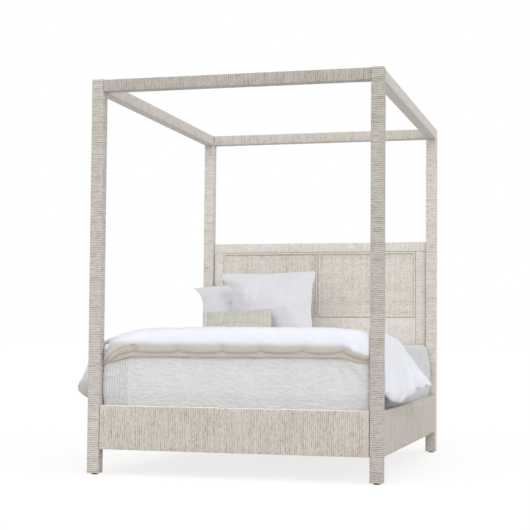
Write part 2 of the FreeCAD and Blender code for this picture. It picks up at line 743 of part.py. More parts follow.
def take_off(body, pad, kind, prop, edge, heights):
    """Rounds or bevels the edges of a slab at the given heights above its underside."""
    finish = body.newObject("PartDesign::" + kind, body.Name + "_edge")
    finish.Base = (pad, [name for height in heights for name in level_edges(pad.Shape, "Z", height)])
    bind(finish, prop, edge)


def make_mattress():
    """The foundation, the mattress on it and the coverlet tucked round both."""
    width, length = S.mattress_width, S.mattress_length
    body, pad = slab("foundation", (width, length, S.foundation_height), S.mattress_corner,
                     (ZERO, mattress_y, deck_top + S.soft_gap))
    keep("foundation", body)
    body, pad = slab("mattress", (width, length, S.mattress_height), S.mattress_corner,
                     (ZERO, mattress_y, mattress_bottom))
    take_off(body, pad, "Chamfer", "Size", S.mattress_edge, (0, S.mattress_height.value))
    keep("mattress", body)
    outer_length = length + coverlet_shell
    outer_height = coverlet_top - S.coverlet_bottom
    outer, pad = slab("coverlet_outside", (coverlet_half * 2, outer_length, outer_height),
                      S.mattress_corner + coverlet_shell,
                      (ZERO, coverlet_foot_y + outer_length / 2, S.coverlet_bottom))
    take_off(outer, pad, "Fillet", "Radius", coverlet_edge, (outer_height.value,))
    inner_length = length + S.soft_gap + S.mattress_corner * 2
    inner_bottom = S.coverlet_bottom - coverlet_shell
    inner_height = mattress_top + S.soft_gap - inner_bottom
    inner, pad = slab("coverlet_inside", (width + S.soft_gap * 2, inner_length, inner_height),
                      S.mattress_corner + S.soft_gap,
                      (ZERO, coverlet_foot_y + S.coverlet_thickness + inner_length / 2,
                       inner_bottom))
    take_off(inner, pad, "Chamfer", "Size", S.mattress_edge, (inner_height.value,))
    keep("coverlet", cut("coverlet", outer, [inner]))


def run_edges(segments):
    """Edges for straight and curved segments: two points make a line, three an arc."""
    edges = []
    for points in segments:
        vectors = [FreeCAD.Vector(*point) for point in points]
        if len(vectors) == 2:
            edges.append(Part.makeLine(*vectors))
        else:
            edges.append(Part.Arc(*vectors).toShape())
    return edges


def drape_half(overhang, hem, slack, sign):
    """Half a duvet section in x and z, from the crown to the hem and back under the top."""
    under = coverlet_top.value + S.soft_gap.value
    crown = under + S.duvet_loft.value
    roll = coverlet_edge.value + S.soft_gap.value
    half = coverlet_half.value + S.soft_gap.value
    flat = half - roll
    outer = []
    for full_point, slack_point in OUTLINE_SHARES:
        over, out, down = [full + slack * (other - full)
                           for full, other in zip(full_point, slack_point)]
        outer.append((sign * (over * half + out * overhang), crown - down * (crown - hem)))
    hem_inner = (sign * max(abs(outer[6][0]) - S.duvet_drop_thickness.value, half), hem)
    bend = (sign * half, under - roll)
    middle = (sign * (flat + roll * DIAGONAL), under - roll + roll * DIAGONAL)
    return (
        ((0, crown), outer[0]),
        (outer[0], outer[1], outer[2]),
        (outer[2], outer[3], outer[4]),
        (outer[4], outer[5], outer[6]),
        (outer[6], hem_inner),
        (hem_inner, bend),
        (bend, middle, (sign * flat, under)),
        ((sign * flat, under), (0, under)),
    )


def duvet_drape():
    """The main part of the duvet, which falls in folds over both sides of the bed."""
    start = S.post_side.value + S.duvet_post_gap.value - bed_depth.value / 2
    overhang, height = S.duvet_overhang.value, S.duvet_hem_height.value
    sections = []
    for along, left_out, left_hem, right_out, right_hem, slack in FOLD_SHARES:
        right = drape_half(right_out * overhang, right_hem * height, slack, 1)
        left = drape_half(left_out * overhang, left_hem * height, slack, -1)
        closed = list(right) + [segment[::-1] for segment in reversed(left)]
        y = start + along * S.duvet_length.value
        sections.append(Part.Wire(run_edges([[(x, y, z) for x, z in part] for part in closed])))
    return Part.makeLoft(sections, True, True)


def lip_section(x, top_share, drop_share):
    """A closed section of the duvet's lip over the foot edge of the mattress."""
    front = S.lip_front_gap.value - bed_depth.value / 2
    rear = front - S.lip_front_gap.value + S.post_side.value + S.duvet_post_gap.value
    rear += S.lip_overlap.value
    crown = coverlet_top.value + S.soft_gap.value + S.duvet_loft.value
    height = crown - S.lip_bottom.value
    top = S.lip_bottom.value + top_share * height
    bottom = S.lip_bottom.value - drop_share * height

    def outer(share):
        return front + share[0] * (rear - front), bottom + share[1] * (top - bottom)

    under = coverlet_top.value + S.soft_gap.value
    roll = coverlet_edge.value + S.soft_gap.value
    face = coverlet_foot_y.value - S.soft_gap.value
    middle = (face + roll - roll * DIAGONAL, under - roll + roll * DIAGONAL)
    crest, nose = outer(LIP_TOP_SHARES[0]), outer(LIP_TOP_SHARES[2])
    roll_end, fold_end = outer(LIP_ROLL_SHARES[1]), outer(LIP_FOLD_SHARES[1])
    segments = (
        ((rear, top), crest),
        (crest, outer(LIP_TOP_SHARES[1]), nose),
        (nose, outer(LIP_ROLL_SHARES[0]), roll_end),
        (roll_end, outer(LIP_FOLD_SHARES[0]), fold_end),
        (fold_end, (face, bottom)),
        ((face, bottom), (face, under - roll)),
        ((face, under - roll), middle, (face + roll, under)),
        ((face + roll, under), (rear, under)),
        ((rear, under), (rear, top)),
    )
    return Part.Wire(run_edges([[(x, y, z) for y, z in segment] for segment in segments]))


def make_duvet():
    """The duvet: the drape over the sides and the lip that rolls over the foot edge."""
    half = joint_x.value - S.duvet_post_gap.value
    sections = [lip_section(along * half, top, drop) for along, top, drop in LIP_SHARES]
    lip = Part.makeLoft(sections, True, True)
    duvet = doc.addObject("Part::Feature", "duvet")
    duvet.Shape = duvet_drape().fuse(lip)
    keep("duvet", duvet)


def pillow_outline(width, height, sink, depth, share):
    """The drawn-in outline of a pillow at one depth, shrunk about its middle to a share."""
    side, end = PILLOW_SIDE_DRAW_SHARE * height, PILLOW_END_DRAW_SHARE * height
    left, right = height * (1 - sink), height * (1 + sink)
    ring = ((-width / 2, 0), (0, end), (width / 2, 0), (width / 2 - side, right / 2),
            (width / 2, right), (0, height - end), (-width / 2, left), (side - width / 2, left / 2))
    points = [(x * share, depth, height / 2 + (z - height / 2) * share) for x, z in ring]
    points.append(points[0])
    return Part.Wire(run_edges([points[k:k + 3] for k in range(0, len(ring), 2)]))


def make_pillow(label, name):
    """A pillow with a crown, drawn-in sides and pointed corners, leaning back."""
    width, height, thickness, side, foot = [
        getattr(S, "%s_%s" % (name, what)).value
        for what in ("width", "height", "thickness", "side", "foot")]
    lean, sink = PILLOW_POSES[name]
    rings = [pillow_outline(width, height, sink, deep * thickness / 2, share)
             for deep, share in PILLOW_LEVEL_SHARES]
    pillow = doc.addObject("Part::Feature", label)
    pillow.Shape = Part.makeLoft(rings, True, True)
    lift = coverlet_top.value + S.soft_gap.value
    base = FreeCAD.Vector(-side, headboard_front_y.value - foot, lift)
    turn = FreeCAD.Rotation(FreeCAD.Vector(1, 0, 0), -lean)
    pillow.Placement = FreeCAD.Placement(base, turn)
    keep(label, pillow)


# Checks and export

def check_and_export():
    """Stops on any failed object or unsound shape, then writes one file for each piece."""
    doc.recompute()
    for thing in doc.Objects:
        if "Invalid" in thing.State or "Error" in thing.State:
            raise RuntimeError("%s is %s" % (thing.Name, thing.State))
    for piece in pieces:
        if piece.Shape.isNull() or not piece.Shape.isValid() or not piece.Shape.Solids:
            raise RuntimeError("unsound shape: " + piece.Label)
    os.makedirs("parts", exist_ok=True)
    for piece in pieces:
        piece.Shape.exportStep("parts/%s.step" % piece.Label)
    print(len(pieces), "pieces")


def main():
    """Builds the bed from its studs outward."""
    bores = make_studs()
    make_posts(bores)
    make_canopy(bores)
    make_boards(bores)
    make_headboard(bores)
    make_deck()
    make_brackets()
    make_mattress()
    make_duvet()
    make_pillow("back_pillow", "back_pillow")
    make_pillow("sham_pillow", "sham")
    make_pillow("lumbar_cushion", "lumbar")
    check_and_export()


main()
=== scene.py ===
import json
import math

import bpy
import numpy as np
from bpy.props import FloatProperty, FloatVectorProperty, PointerProperty
from bpy.types import Operator, Panel, PropertyGroup
from mathutils import Matrix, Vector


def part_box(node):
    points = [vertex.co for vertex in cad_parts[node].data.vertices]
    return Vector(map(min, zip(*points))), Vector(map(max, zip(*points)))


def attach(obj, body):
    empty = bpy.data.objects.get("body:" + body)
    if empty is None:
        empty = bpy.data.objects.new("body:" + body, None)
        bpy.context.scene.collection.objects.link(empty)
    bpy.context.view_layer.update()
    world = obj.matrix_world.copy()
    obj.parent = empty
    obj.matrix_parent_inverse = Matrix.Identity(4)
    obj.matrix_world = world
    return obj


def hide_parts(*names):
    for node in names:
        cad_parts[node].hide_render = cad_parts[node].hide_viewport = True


# Canopy bed wound with natural rope, with its mattress and bedding. +Z is up, the foot end
# faces -Y and the origin lies on the floor under the middle of the bed. Lengths are in metres.

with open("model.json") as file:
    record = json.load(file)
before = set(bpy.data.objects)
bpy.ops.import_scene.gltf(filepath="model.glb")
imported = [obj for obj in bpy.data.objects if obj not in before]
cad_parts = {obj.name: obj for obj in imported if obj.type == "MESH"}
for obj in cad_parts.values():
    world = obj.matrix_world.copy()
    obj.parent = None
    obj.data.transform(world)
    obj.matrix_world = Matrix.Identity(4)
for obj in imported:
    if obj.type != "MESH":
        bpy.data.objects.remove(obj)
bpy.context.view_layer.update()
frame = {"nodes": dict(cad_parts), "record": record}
NODES = frame["nodes"]

bl_info = {
    "name": "Rope Canopy Bed",
    "version": (1, 0, 0),
    "blender": (4, 5, 0),
    "location": "View3D > Sidebar > Canopy Bed",
    "description": "Winds the rope, makes up the bed and lights the studio",
    "category": "Object",
}

TWO_PI = 2.0 * math.pi


# Sizes and colours a user may change

def length(name, default, description):
    """A length in metres."""
    return FloatProperty(name=name, default=default, description=description, unit="LENGTH",
                         precision=4, min=0.0)


def share(name, default, description):
    """A plain share, usually between 0 and 1."""
    return FloatProperty(name=name, default=default, description=description, subtype="FACTOR",
                         min=0.0, max=2.0)


def colour(name, default, description):
    """A linear colour."""
    return FloatVectorProperty(name=name, default=default, description=description,
                               subtype="COLOR", size=3, min=0.0, max=1.0)


class CANOPYBED_PG_rope(PropertyGroup):
    """The rope and how it is wound"""
    pitch: length("Turn", 0.0104, "Width of one turn of the rope")
    # Painted highlight: how far down a board's top edge the pale band reaches, standing for light
    # catching that edge
    highlight_band: length("Painted highlight", 0.0045, "Height of the painted highlight along a board's top edge")
    valley: length("Valley", 0.0024, "Depth of the valley between two turns")
    lay: length("Lay", 0.0085, "Length over which a strand goes once round the rope")
    wander: length("Wander", 0.0015, "How far a turn strays from its straight line")
    corner: length("Corner", 0.0052, "Radius of a wound corner")
    light: colour("Light strands", (0.680, 0.628, 0.562), "Bleached strands")
    # The dark colour also paints the shade in the valleys between turns
    dark: colour("Valley shade and dark strands", (0.290, 0.242, 0.196), "Painted shade in the valleys, and the darkest strands")


class CANOPYBED_PG_duvet(PropertyGroup):
    """The folded duvet"""
    puff: length("Puff", 0.007, "Rise of the filling between two channels")
    channel_step: length("Channel step", 0.232, "Distance between two sewn channels")
    white: colour("Face", (0.828, 0.840, 0.905), "Face of the duvet")
    reverse: colour("Reverse", (0.545, 0.500, 0.425), "Reverse of the duvet")


class CANOPYBED_PG_linen(PropertyGroup):
    """Coverlet, pillows and cushion"""
    coverlet: colour("Coverlet", (0.675, 0.675, 0.685), "Washed cotton coverlet")
    pillow: colour("Pillow", (0.712, 0.706, 0.743), "Cotton pillow cases")
    lumbar: colour("Cushion", (0.640, 0.618, 0.540), "Heavy linen of the low cushion")
    ticking: colour("Ticking", (0.760, 0.745, 0.700), "Mattress and foundation cloth")


class CANOPYBED_PG_studio(PropertyGroup):
    """Light, floor and camera"""
    key: FloatProperty(name="Key light", default=1.15, min=0.0,
                       description="Strength of the broad light above the foot end")
    fill: FloatProperty(name="Fill light", default=1.10, min=0.0,
                        description="Strength of the broad light from the right")
    sky: share("Sky", 0.54, "Strength of the pale surroundings")
    floor: colour("Floor", (0.80, 0.80, 0.80), "Pale floor")


# Surfaces from grids of points

def grid_corners(rows, columns, closed_rows=False, closed_columns=False):
    """Row and column numbers of the corners of every quad between neighbouring grid points:
    (i, j), (i, j + 1), (i + 1, j + 1), (i + 1, j)."""
    i = np.arange(rows if closed_rows else rows - 1)[:, None]
    j = np.arange(columns if closed_columns else columns - 1)[None, :]
    i, j = np.broadcast_arrays(i, j)
    return (np.stack([i, i, i + 1, i + 1], -1).reshape(-1, 4),
            np.stack([j, j + 1, j + 1, j], -1).reshape(-1, 4))


def build_mesh(name, points, quads, uv=None, caps=()):
    """A mesh from points, quads and a few larger faces, turned so that it faces outwards:
    the sum of the signed volumes between its faces and the origin is positive."""
    p = points[quads]
    volume = (np.einsum("ij,ij->i", p[:, 0], np.cross(p[:, 1], p[:, 2])).sum()
              + np.einsum("ij,ij->i", p[:, 0], np.cross(p[:, 2], p[:, 3])).sum())
    if volume < 0:
        quads = quads[:, ::-1]
        uv = None if uv is None else uv[:, ::-1]
        caps = [np.asarray(cap)[::-1] for cap in caps]
    loops = np.concatenate([quads.ravel()] + [np.asarray(cap) for cap in caps])
    counts = np.concatenate([np.full(len(quads), 4), [len(cap) for cap in caps]]).astype(int)
    mesh = bpy.data.meshes.new(name)
    mesh.vertices.add(len(points))
    mesh.vertices.foreach_set("co", np.ascontiguousarray(points, np.float32).ravel())
    mesh.loops.add(len(loops))
    mesh.loops.foreach_set("vertex_index", loops.astype(np.int32))
    mesh.polygons.add(len(counts))
    starts = np.concatenate([[0], np.cumsum(counts)[:-1]])
    mesh.polygons.foreach_set("loop_start", starts.astype(np.int32))
    mesh.polygons.foreach_set("use_smooth", np.ones(len(counts), bool))
    mesh.update(calc_edges=True)
    if uv is not None:
        layer = mesh.uv_layers.new(name="UVMap")
        flat = np.zeros((len(loops), 2), np.float32)
        flat[:uv.shape[0] * 4] = uv.reshape(-1, 2)
        layer.data.foreach_set("uv", flat.ravel())
    mesh.validate()
    return mesh


def add_piece(name, mesh, material):
    """An object for a mesh, with its material, at the origin."""
    mesh.materials.append(material)
    piece = bpy.data.objects.new(name, mesh)
    bpy.context.scene.collection.objects.link(piece)
    return piece


def stand_in(piece, *nodes):
    """The piece rides on the bed and stands for these nodes."""
    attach(piece, "root")
    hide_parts(*nodes)
    return piece


def box_of(node):
    """Lowest and highest corner of a node, as arrays."""
    low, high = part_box(node)
    return np.array(low), np.array(high)


def smooth_curve(x, places, values):
    """Values between places on a curve through them, whose slope at each place is that of the
    line between its neighbours."""
    places, values = np.asarray(places, float), np.asarray(values, float)
    slopes = np.gradient(values, places, axis=0)
    k = np.clip(np.searchsorted(places, x, side="right") - 1, 0, len(places) - 2)
    gap = places[k + 1] - places[k]
    t = np.clip((x - places[k]) / gap, 0.0, 1.0)
    extra = (1,) * (values.ndim - 1)
    t, gap = t.reshape(t.shape + extra), gap.reshape(gap.shape + extra)
    a, b = 2 * t ** 3 - 3 * t ** 2 + 1, 3 * t ** 2 - 2 * t ** 3
    c, d = t ** 3 - 2 * t ** 2 + t, t ** 3 - t ** 2
    return a * values[k] + b * values[k + 1] + gap * (c * slopes[k] + d * slopes[k + 1])


def step(x, low, high):
    """0 below low, 1 above high and a smooth rise between them."""
    t = np.clip((x - low) / (high - low), 0.0, 1.0)
    return t * t * (3.0 - 2.0 * t)


def ripple(points, size, seed, count=9):
    """Soft unevenness between -1 and 1: the mean of sines that run in random directions,
    with wavelengths round size."""
    rng = np.random.default_rng(seed)
    total = np.zeros(points.shape[:-1])
    for _ in range(count):
        way = rng.normal(size=3)
        way *= TWO_PI / (np.linalg.norm(way) * size * rng.uniform(0.6, 1.7))
        total += np.sin(points @ way + rng.uniform(0.0, TWO_PI))
    return total * math.sqrt(2.0 / count) / 1.6


# Materials

class Finish:
    """A material while it is put together from nodes."""

    def __init__(self, name, roughness=0.8, specular=0.3, **sockets):
        """A Principled shader with values for its sockets, named with _ for each space."""
        self.material = bpy.data.materials.new(name)
        self.material.use_nodes = True
        self.tree = self.material.node_tree
        self.shader = self.tree.nodes["Principled BSDF"]
        self.set("Roughness", roughness)
        self.set("Specular IOR Level", specular)
        for socket, value in sockets.items():
            self.set(socket.replace("_", " "), value)

    def set(self, socket, value):
        """Sets or joins a socket of the shader."""
        self.feed(self.shader.inputs[socket], value)

    def feed(self, socket, value):
        """Joins another node's output to a socket, or writes a value into it, unless it is None."""
        if isinstance(value, bpy.types.NodeSocket):
            self.tree.links.new(value, socket)
        elif value is not None:
            socket.default_value = value

    def add(self, kind, *inputs, **settings):
        """A node with its first inputs and its settings."""
        node = self.tree.nodes.new("ShaderNode" + kind)
        for name, value in settings.items():
            setattr(node, name, value)
        for socket, value in zip(node.inputs, inputs):
            self.feed(socket, value)
        return node

    def math(self, operation, *inputs):
        """The result of a sum or another operation on one to three inputs."""
        return self.add("Math", *inputs, operation=operation).outputs[0]

    def rise(self, value, low, high, out_low=0.0, out_high=1.0):
        """A smooth rise from out_low to out_high between low and high."""
        node = self.add("MapRange", value, low, high, out_low, out_high,
                        interpolation_type="SMOOTHSTEP")
        return node.outputs[0]

    def mix(self, part, first, second):
        """A colour between two colours."""
        node = self.add("Mix", data_type="RGBA")
        self.feed(node.inputs[0], part)
        self.feed(node.inputs[6], first if isinstance(first, bpy.types.NodeSocket)
                  else (*first, 1.0))
        self.feed(node.inputs[7], second if isinstance(second, bpy.types.NodeSocket)
                  else (*second, 1.0))
        return node.outputs[2]

    def places(self, scale=(1.0, 1.0, 1.0), turn=0.0, own=True):
        """Object coordinates, or the piece's own map in metres, scaled and turned."""
        source = (self.add("UVMap", uv_map="UVMap").outputs[0] if own
                  else self.add("TexCoord").outputs["Object"])
        node = self.add("Mapping", source)
        node.inputs["Scale"].default_value = scale
        node.inputs["Rotation"].default_value[2] = turn
        return node.outputs[0]

    def noise(self, vector, scale, detail=3.0, rough=0.55):
        """Cloudy noise, with scale spots to a unit of the vector."""
        node = self.add("TexNoise")
        for socket, value in (("Vector", vector), ("Scale", scale), ("Detail", detail),
                              ("Roughness", rough)):
            self.feed(node.inputs[socket], value)
        return node.outputs["Fac"]

    def bump(self, height, strength=1.0, distance=0.001, before=None):
        """A bump, distance metres high where height is 1, on top of the bump before it."""
        node = self.add("Bump")
        for socket, value in (("Height", height), ("Strength", strength),
                              ("Distance", distance), ("Normal", before)):
            self.feed(node.inputs[socket], value)
        self.set("Normal", node.outputs[0])
        return node.outputs[0]


def shade(colour_value, factor):
    """A colour made darker or lighter."""
    return tuple(min(1.0, channel * factor) for channel in colour_value)


def wound_rope_finish(name, rope, dusk=1.0, gain=1.0, speck=1.0, bleach=0.0, lit_top=None):
    """Twisted rope: the map's second coordinate counts turns, and its first runs in metres
    along the rope. The valleys between turns are darkened with painted shade, deeper in some
    places than in others, and each strand that crosses a turn has its own tone.
    Bleach takes yellow out of the colour: it lifts green by 3.2 % and blue by 7 %. The last
    argument is the height of a board's top edge that gets a painted highlight: a pale band of
    rope along it stands for the light from above that catches that edge."""
    light, dark = (tuple(min(1.0, c * gain * (1.0 + bleach * part)) for c, part in
                         zip(base, (0.0, 0.032, 0.070))) for base in (rope.light, rope.dark))
    finish = Finish(name, roughness=0.86, specular=0.22)
    finish.set("Sheen Weight", 0.25)
    finish.set("Sheen Roughness", 0.6)
    split = finish.add("SeparateXYZ", finish.add("UVMap", uv_map="UVMap").outputs[0])
    along, turns = split.outputs[0], split.outputs[1]
    phase = finish.math("FRACT", turns)
    turn = finish.math("FLOOR", turns)
    centred = finish.math("MULTIPLY_ADD", phase, 2.0, -1.0)
    crown = finish.math("SUBTRACT", 1.0, finish.math("MULTIPLY", centred, centred))
    own = finish.add("TexWhiteNoise", noise_dimensions="1D")
    finish.feed(own.inputs["W"], turn)
    tone = own.outputs["Value"]
    twist = finish.math("DIVIDE", along, rope.lay)
    lean = finish.math("MULTIPLY_ADD", phase, 0.9, twist)
    offset = finish.math("MULTIPLY_ADD", tone, 3.0, lean)
    strand = finish.math("MULTIPLY_ADD", finish.math("SINE", finish.math(
        "MULTIPLY", offset, TWO_PI)), 0.5, 0.5)
    bundles = []
    for size in (0.72, 0.31):
        number = finish.math("FLOOR", finish.math("MULTIPLY", offset, size))
        bundle = finish.add("TexWhiteNoise", finish.add("CombineXYZ", number, turn,
                                                        size).outputs[0], noise_dimensions="3D")
        bundles.append(bundle.outputs["Value"])
    thread = finish.add("CombineXYZ", finish.math("MULTIPLY", along, 160.0),
                        finish.math("MULTIPLY", turns, 1.7), 0.0).outputs[0]
    fibre = finish.noise(thread, 1.0, 4.0, 0.65)
    patch = finish.noise(finish.places(own=False), 9.0, 4.0, 0.6)
    drift = finish.noise(finish.add("CombineXYZ", finish.math("MULTIPLY", along, 3.0),
                                    finish.math("MULTIPLY", turns, 0.34), 0.0).outputs[0],
                         1.0, 2.0)
    between = finish.math("FLOOR", finish.math("ADD", turns, 0.5))
    open_up = finish.noise(finish.add("CombineXYZ", finish.math("MULTIPLY", along, 31.0),
                                      finish.math("MULTIPLY", between, 5.3), 1.7).outputs[0],
                           1.0, 2.0)
    # Painted shade: the colour darkens towards the valleys between turns, where shade falls, by an
    # amount that dusk scales
    valley = finish.rise(crown, 0.04, 0.82, 1.0, 0.0)
    valley = finish.math("MULTIPLY", valley, finish.rise(open_up, 0.32, 0.68, 0.22, 1.12))
    value = finish.math("MULTIPLY_ADD", valley, -0.80 * dusk, 1.0)
    fleck = finish.noise(finish.add("CombineXYZ", finish.math("MULTIPLY", along, 45.0),
                                    finish.math("MULTIPLY", turns, 1.3), 3.0).outputs[0],
                         1.0, 2.0, 0.75)
    for grain, height in ((tone, 0.20 * dusk), (bundles[0], 0.20 * speck),
                          (bundles[1], 0.14 * dusk), (strand, 0.26 * speck),
                          (fibre, 0.45 * speck), (fleck, 0.85 * speck), (patch, 0.40),
                          (drift, 0.34 * dusk)):
        value = finish.math("ADD", value, finish.math("MULTIPLY_ADD", grain, height,
                                                      -height / 2.0))
    tint = finish.mix(patch, light, (light[0] * 0.97, light[1] * 0.985, light[2] * 1.03))
    base = finish.mix(finish.rise(value, -0.05, 1.05), dark, tint)
    # Painted highlight: rope along the top edge turns pale, standing for the light from above that
    # catches that edge
    if lit_top is not None:
        up = finish.add("SeparateXYZ", finish.places(own=False)).outputs[2]
        edge = finish.rise(up, lit_top - rope.highlight_band, lit_top - rope.highlight_band / 3.0, 0.0, 0.85)
        base = finish.mix(edge, base, (0.955, 0.935, 0.890))
    finish.set("Base Color", base)
    height = finish.math("MULTIPLY", crown, 0.6)
    height = finish.math("MULTIPLY_ADD", strand, 0.30, height)
    height = finish.math("MULTIPLY_ADD", fibre, 0.35, height)
    finish.bump(height, 0.75, 0.0011)
    return finish.material


def woven_rope_finish(name, rope, size):
    """Plain weave of rope: in each square one strand crosses over the other, warp and weft by
    turns, and the strands wander by up to a strand's width. The map is in metres."""
    finish = Finish(name, roughness=0.88, specular=0.2)
    finish.set("Sheen Weight", 0.25)
    split = finish.add("SeparateXYZ", finish.places((1.0 / size, 1.0 / size, 1.0)))
    x, y = (finish.math("MULTIPLY_ADD", finish.noise(finish.places(way), 34.0, 2.0), 3.0,
                        split.outputs[k]) for k, way in ((0, (1.0, 1.0, 1.0)),
                                                         (1, (1.3, 0.8, 2.0))))
    rounds = []
    for way in (x, y):
        centred = finish.math("MULTIPLY_ADD", finish.math("FRACT", way), 2.0, -1.0)
        rounds.append(finish.math("SUBTRACT", 1.0, finish.math("MULTIPLY", centred, centred)))
    turn = finish.math("ADD", finish.math("FLOOR", x), finish.math("FLOOR", y))
    over = finish.math("PINGPONG", turn, 1.0)
    upright = finish.math("MULTIPLY", rounds[0],
                          finish.math("MULTIPLY_ADD", rounds[1], 0.55, 0.45))
    level = finish.math("MULTIPLY", rounds[1],
                        finish.math("MULTIPLY_ADD", rounds[0], 0.55, 0.45))
    picked = finish.add("Mix", over, data_type="FLOAT")
    finish.feed(picked.inputs[2], upright)
    finish.feed(picked.inputs[3], level)
    height = picked.outputs[0]
    column = finish.add("TexWhiteNoise", noise_dimensions="1D")
    finish.feed(column.inputs["W"], finish.math("FLOOR", x))
    line = finish.add("TexWhiteNoise", noise_dimensions="1D")
    finish.feed(line.inputs["W"], finish.math("FLOOR", y))
    knot = finish.add("TexWhiteNoise", finish.add("CombineXYZ", finish.math("FLOOR", x),
                                                  finish.math("FLOOR", y), 0.0).outputs[0],
                      noise_dimensions="3D")
    fibre = finish.noise(finish.places(), 420.0, 3.0, 0.7)
    fleck = finish.noise(finish.places((1.15, 0.85, 1.0)), 84.0, 3.0, 0.7)
    patch = finish.noise(finish.places(own=False), 12.0, 3.0, 0.6)
    # Painted shade: strands that pass under their neighbours, and the gaps between strands, are
    # darker
    value = finish.rise(height, 0.0, 0.75, 0.38, 0.97)
    for grain, depth in ((column.outputs["Value"], 0.20), (line.outputs["Value"], 0.15),
                         (knot.outputs["Value"], 0.30), (fibre, 0.5), (fleck, 0.95),
                         (patch, 0.40)):
        value = finish.math("ADD", value, finish.math("MULTIPLY_ADD", grain, depth,
                                                      -depth / 2.0))
    dark, light = (tuple(c * part for c, part in zip(base, parts)) for base, parts in (
        (rope.dark, (1.38, 1.42, 1.48)), (rope.light, (1.25, 1.275, 1.31))))
    finish.set("Base Color", finish.mix(finish.rise(value, 0.0, 1.1), dark, light))
    finish.bump(finish.math("MULTIPLY_ADD", fibre, 0.3, height), 0.8, 0.0016)
    return finish.material


def cotton_finish(name, base, crease_way=(1.0, 1.0, 1.0), crease=0.6, crease_size=60.0,
                  weave=1100.0, weave_depth=0.25, own=True, crease_shade_and_tone=0.05, paint=None,
                  turn=0.0, sheen=0.3, ribs=None):
    """Woven cloth: fine threads both ways, soft creases that may run one way, painted shade that
    darkens the hollows of the creases, and a slight random change of tone. paint is a second
    colour that the 'reverse' attribute brings in, and ribs the width of the gathers that the
    'ribs' attribute brings in, whose hollows get painted shade too."""
    finish = Finish(name, roughness=0.88, specular=0.18)
    finish.set("Sheen Weight", sheen)
    finish.set("Sheen Roughness", 0.55)
    threads = finish.add("SeparateXYZ", finish.places((weave, weave, weave), own=own))
    ways = [finish.math("SINE", threads.outputs[k]) for k in range(3)]
    cloth = finish.math("MULTIPLY", ways[0], finish.math("ADD", ways[1], ways[2])
                        if not own else ways[1])
    creases = finish.noise(finish.places(crease_way, turn, own), crease_size, 3.0, 0.55)
    soft = finish.noise(finish.places((1.0, 1.0, 1.0), 0.0, own), 7.0, 2.0, 0.5)
    # Painted shade: the tone follows the crease height and is darker in the hollows. The soft noise
    # below adds random tone
    tone = finish.math("MULTIPLY_ADD", creases, crease_shade_and_tone * 2.0, 1.0 - crease_shade_and_tone)
    tone = finish.math("ADD", tone, finish.math("MULTIPLY_ADD", soft, crease_shade_and_tone, -crease_shade_and_tone / 2.0))
    face = base
    if paint is not None:
        mark = finish.add("Attribute", attribute_name="reverse").outputs["Fac"]
        face = finish.mix(mark, base, paint)
    node = finish.add("VectorMath", face if paint is not None else tuple(base), operation="SCALE")
    finish.feed(node.inputs["Scale"], tone)
    finish.set("Base Color", node.outputs[0])
    first = finish.bump(creases, crease, 0.006)
    if ribs is not None:
        side = finish.add("SeparateXYZ", finish.places((TWO_PI / ribs, 1.0, 1.0))).outputs[0]
        gather = finish.math("MULTIPLY", finish.math("SINE", side), finish.add(
            "Attribute", attribute_name="ribs").outputs["Fac"])
        # Painted shade: the gathers are darker in their hollows
        tone = finish.math("MULTIPLY_ADD", gather, 0.050, tone)
        finish.feed(node.inputs["Scale"], tone)
        first = finish.bump(gather, 1.0, 0.0018, first)
    finish.bump(cloth, weave_depth, 0.0004, first)
    return finish.material


def linen_finish(name, base):
    """Heavy linen: threads of uneven thickness cross at right angles, each with its own tone."""
    finish = Finish(name, roughness=0.9, specular=0.15)
    finish.set("Sheen Weight", 0.2)
    split = finish.add("SeparateXYZ", finish.places((260.0, 260.0, 1.0)))
    total, height = None, None
    for k in range(2):
        own = finish.add("TexWhiteNoise", noise_dimensions="1D")
        finish.feed(own.inputs["W"], finish.math("FLOOR", split.outputs[k]))
        centred = finish.math("MULTIPLY_ADD", finish.math("FRACT", split.outputs[k]), 2.0, -1.0)
        crown = finish.math("SUBTRACT", 1.0, finish.math("MULTIPLY", centred, centred))
        height = crown if height is None else finish.math("ADD", height, crown)
        tone = own.outputs["Value"]
        total = tone if total is None else finish.math("ADD", total, tone)
    slub = finish.noise(finish.places((60.0, 420.0, 1.0)), 1.0, 3.0, 0.6)
    slub_up = finish.noise(finish.places((420.0, 50.0, 1.0)), 1.0, 3.0, 0.6)
    value = finish.math("MULTIPLY_ADD", total, 0.16, 0.76)
    value = finish.math("ADD", value, finish.math("MULTIPLY_ADD", finish.math(
        "ADD", slub, slub_up), 0.42, -0.42))
    node = finish.add("VectorMath", tuple(base), operation="SCALE")
    finish.feed(node.inputs["Scale"], value)
    finish.set("Base Color", node.outputs[0])
    finish.bump(finish.math("ADD", height, slub), 0.5, 0.0008)
    return finish.material


def wood_finish(name, light, dark, ring=22.0, roughness=0.5):
    """Planed wood: long wavy grain lines, fine pores along them, and broad bands of tone."""
    finish = Finish(name, roughness=roughness, specular=0.4)
    wave = finish.add("TexWave", wave_type="BANDS", bands_direction="Z")
    for socket, value in (("Vector", finish.places((0.5, 0.5, 3.0), own=False)),
                          ("Scale", ring), ("Distortion", 7.0), ("Detail", 3.0),
                          ("Detail Scale", 1.4)):
        finish.feed(wave.inputs[socket], value)
    pores = finish.noise(finish.places((14.0, 14.0, 260.0), own=False), 3.0, 3.0, 0.7)
    value = finish.math("ADD", finish.math("MULTIPLY", wave.outputs["Fac"], 0.6),
                        finish.math("MULTIPLY", pores, 0.5))
    finish.set("Base Color", finish.mix(finish.rise(value, 0.1, 1.0), light, dark))
    finish.bump(pores, 0.35, 0.0005)
    return finish.material


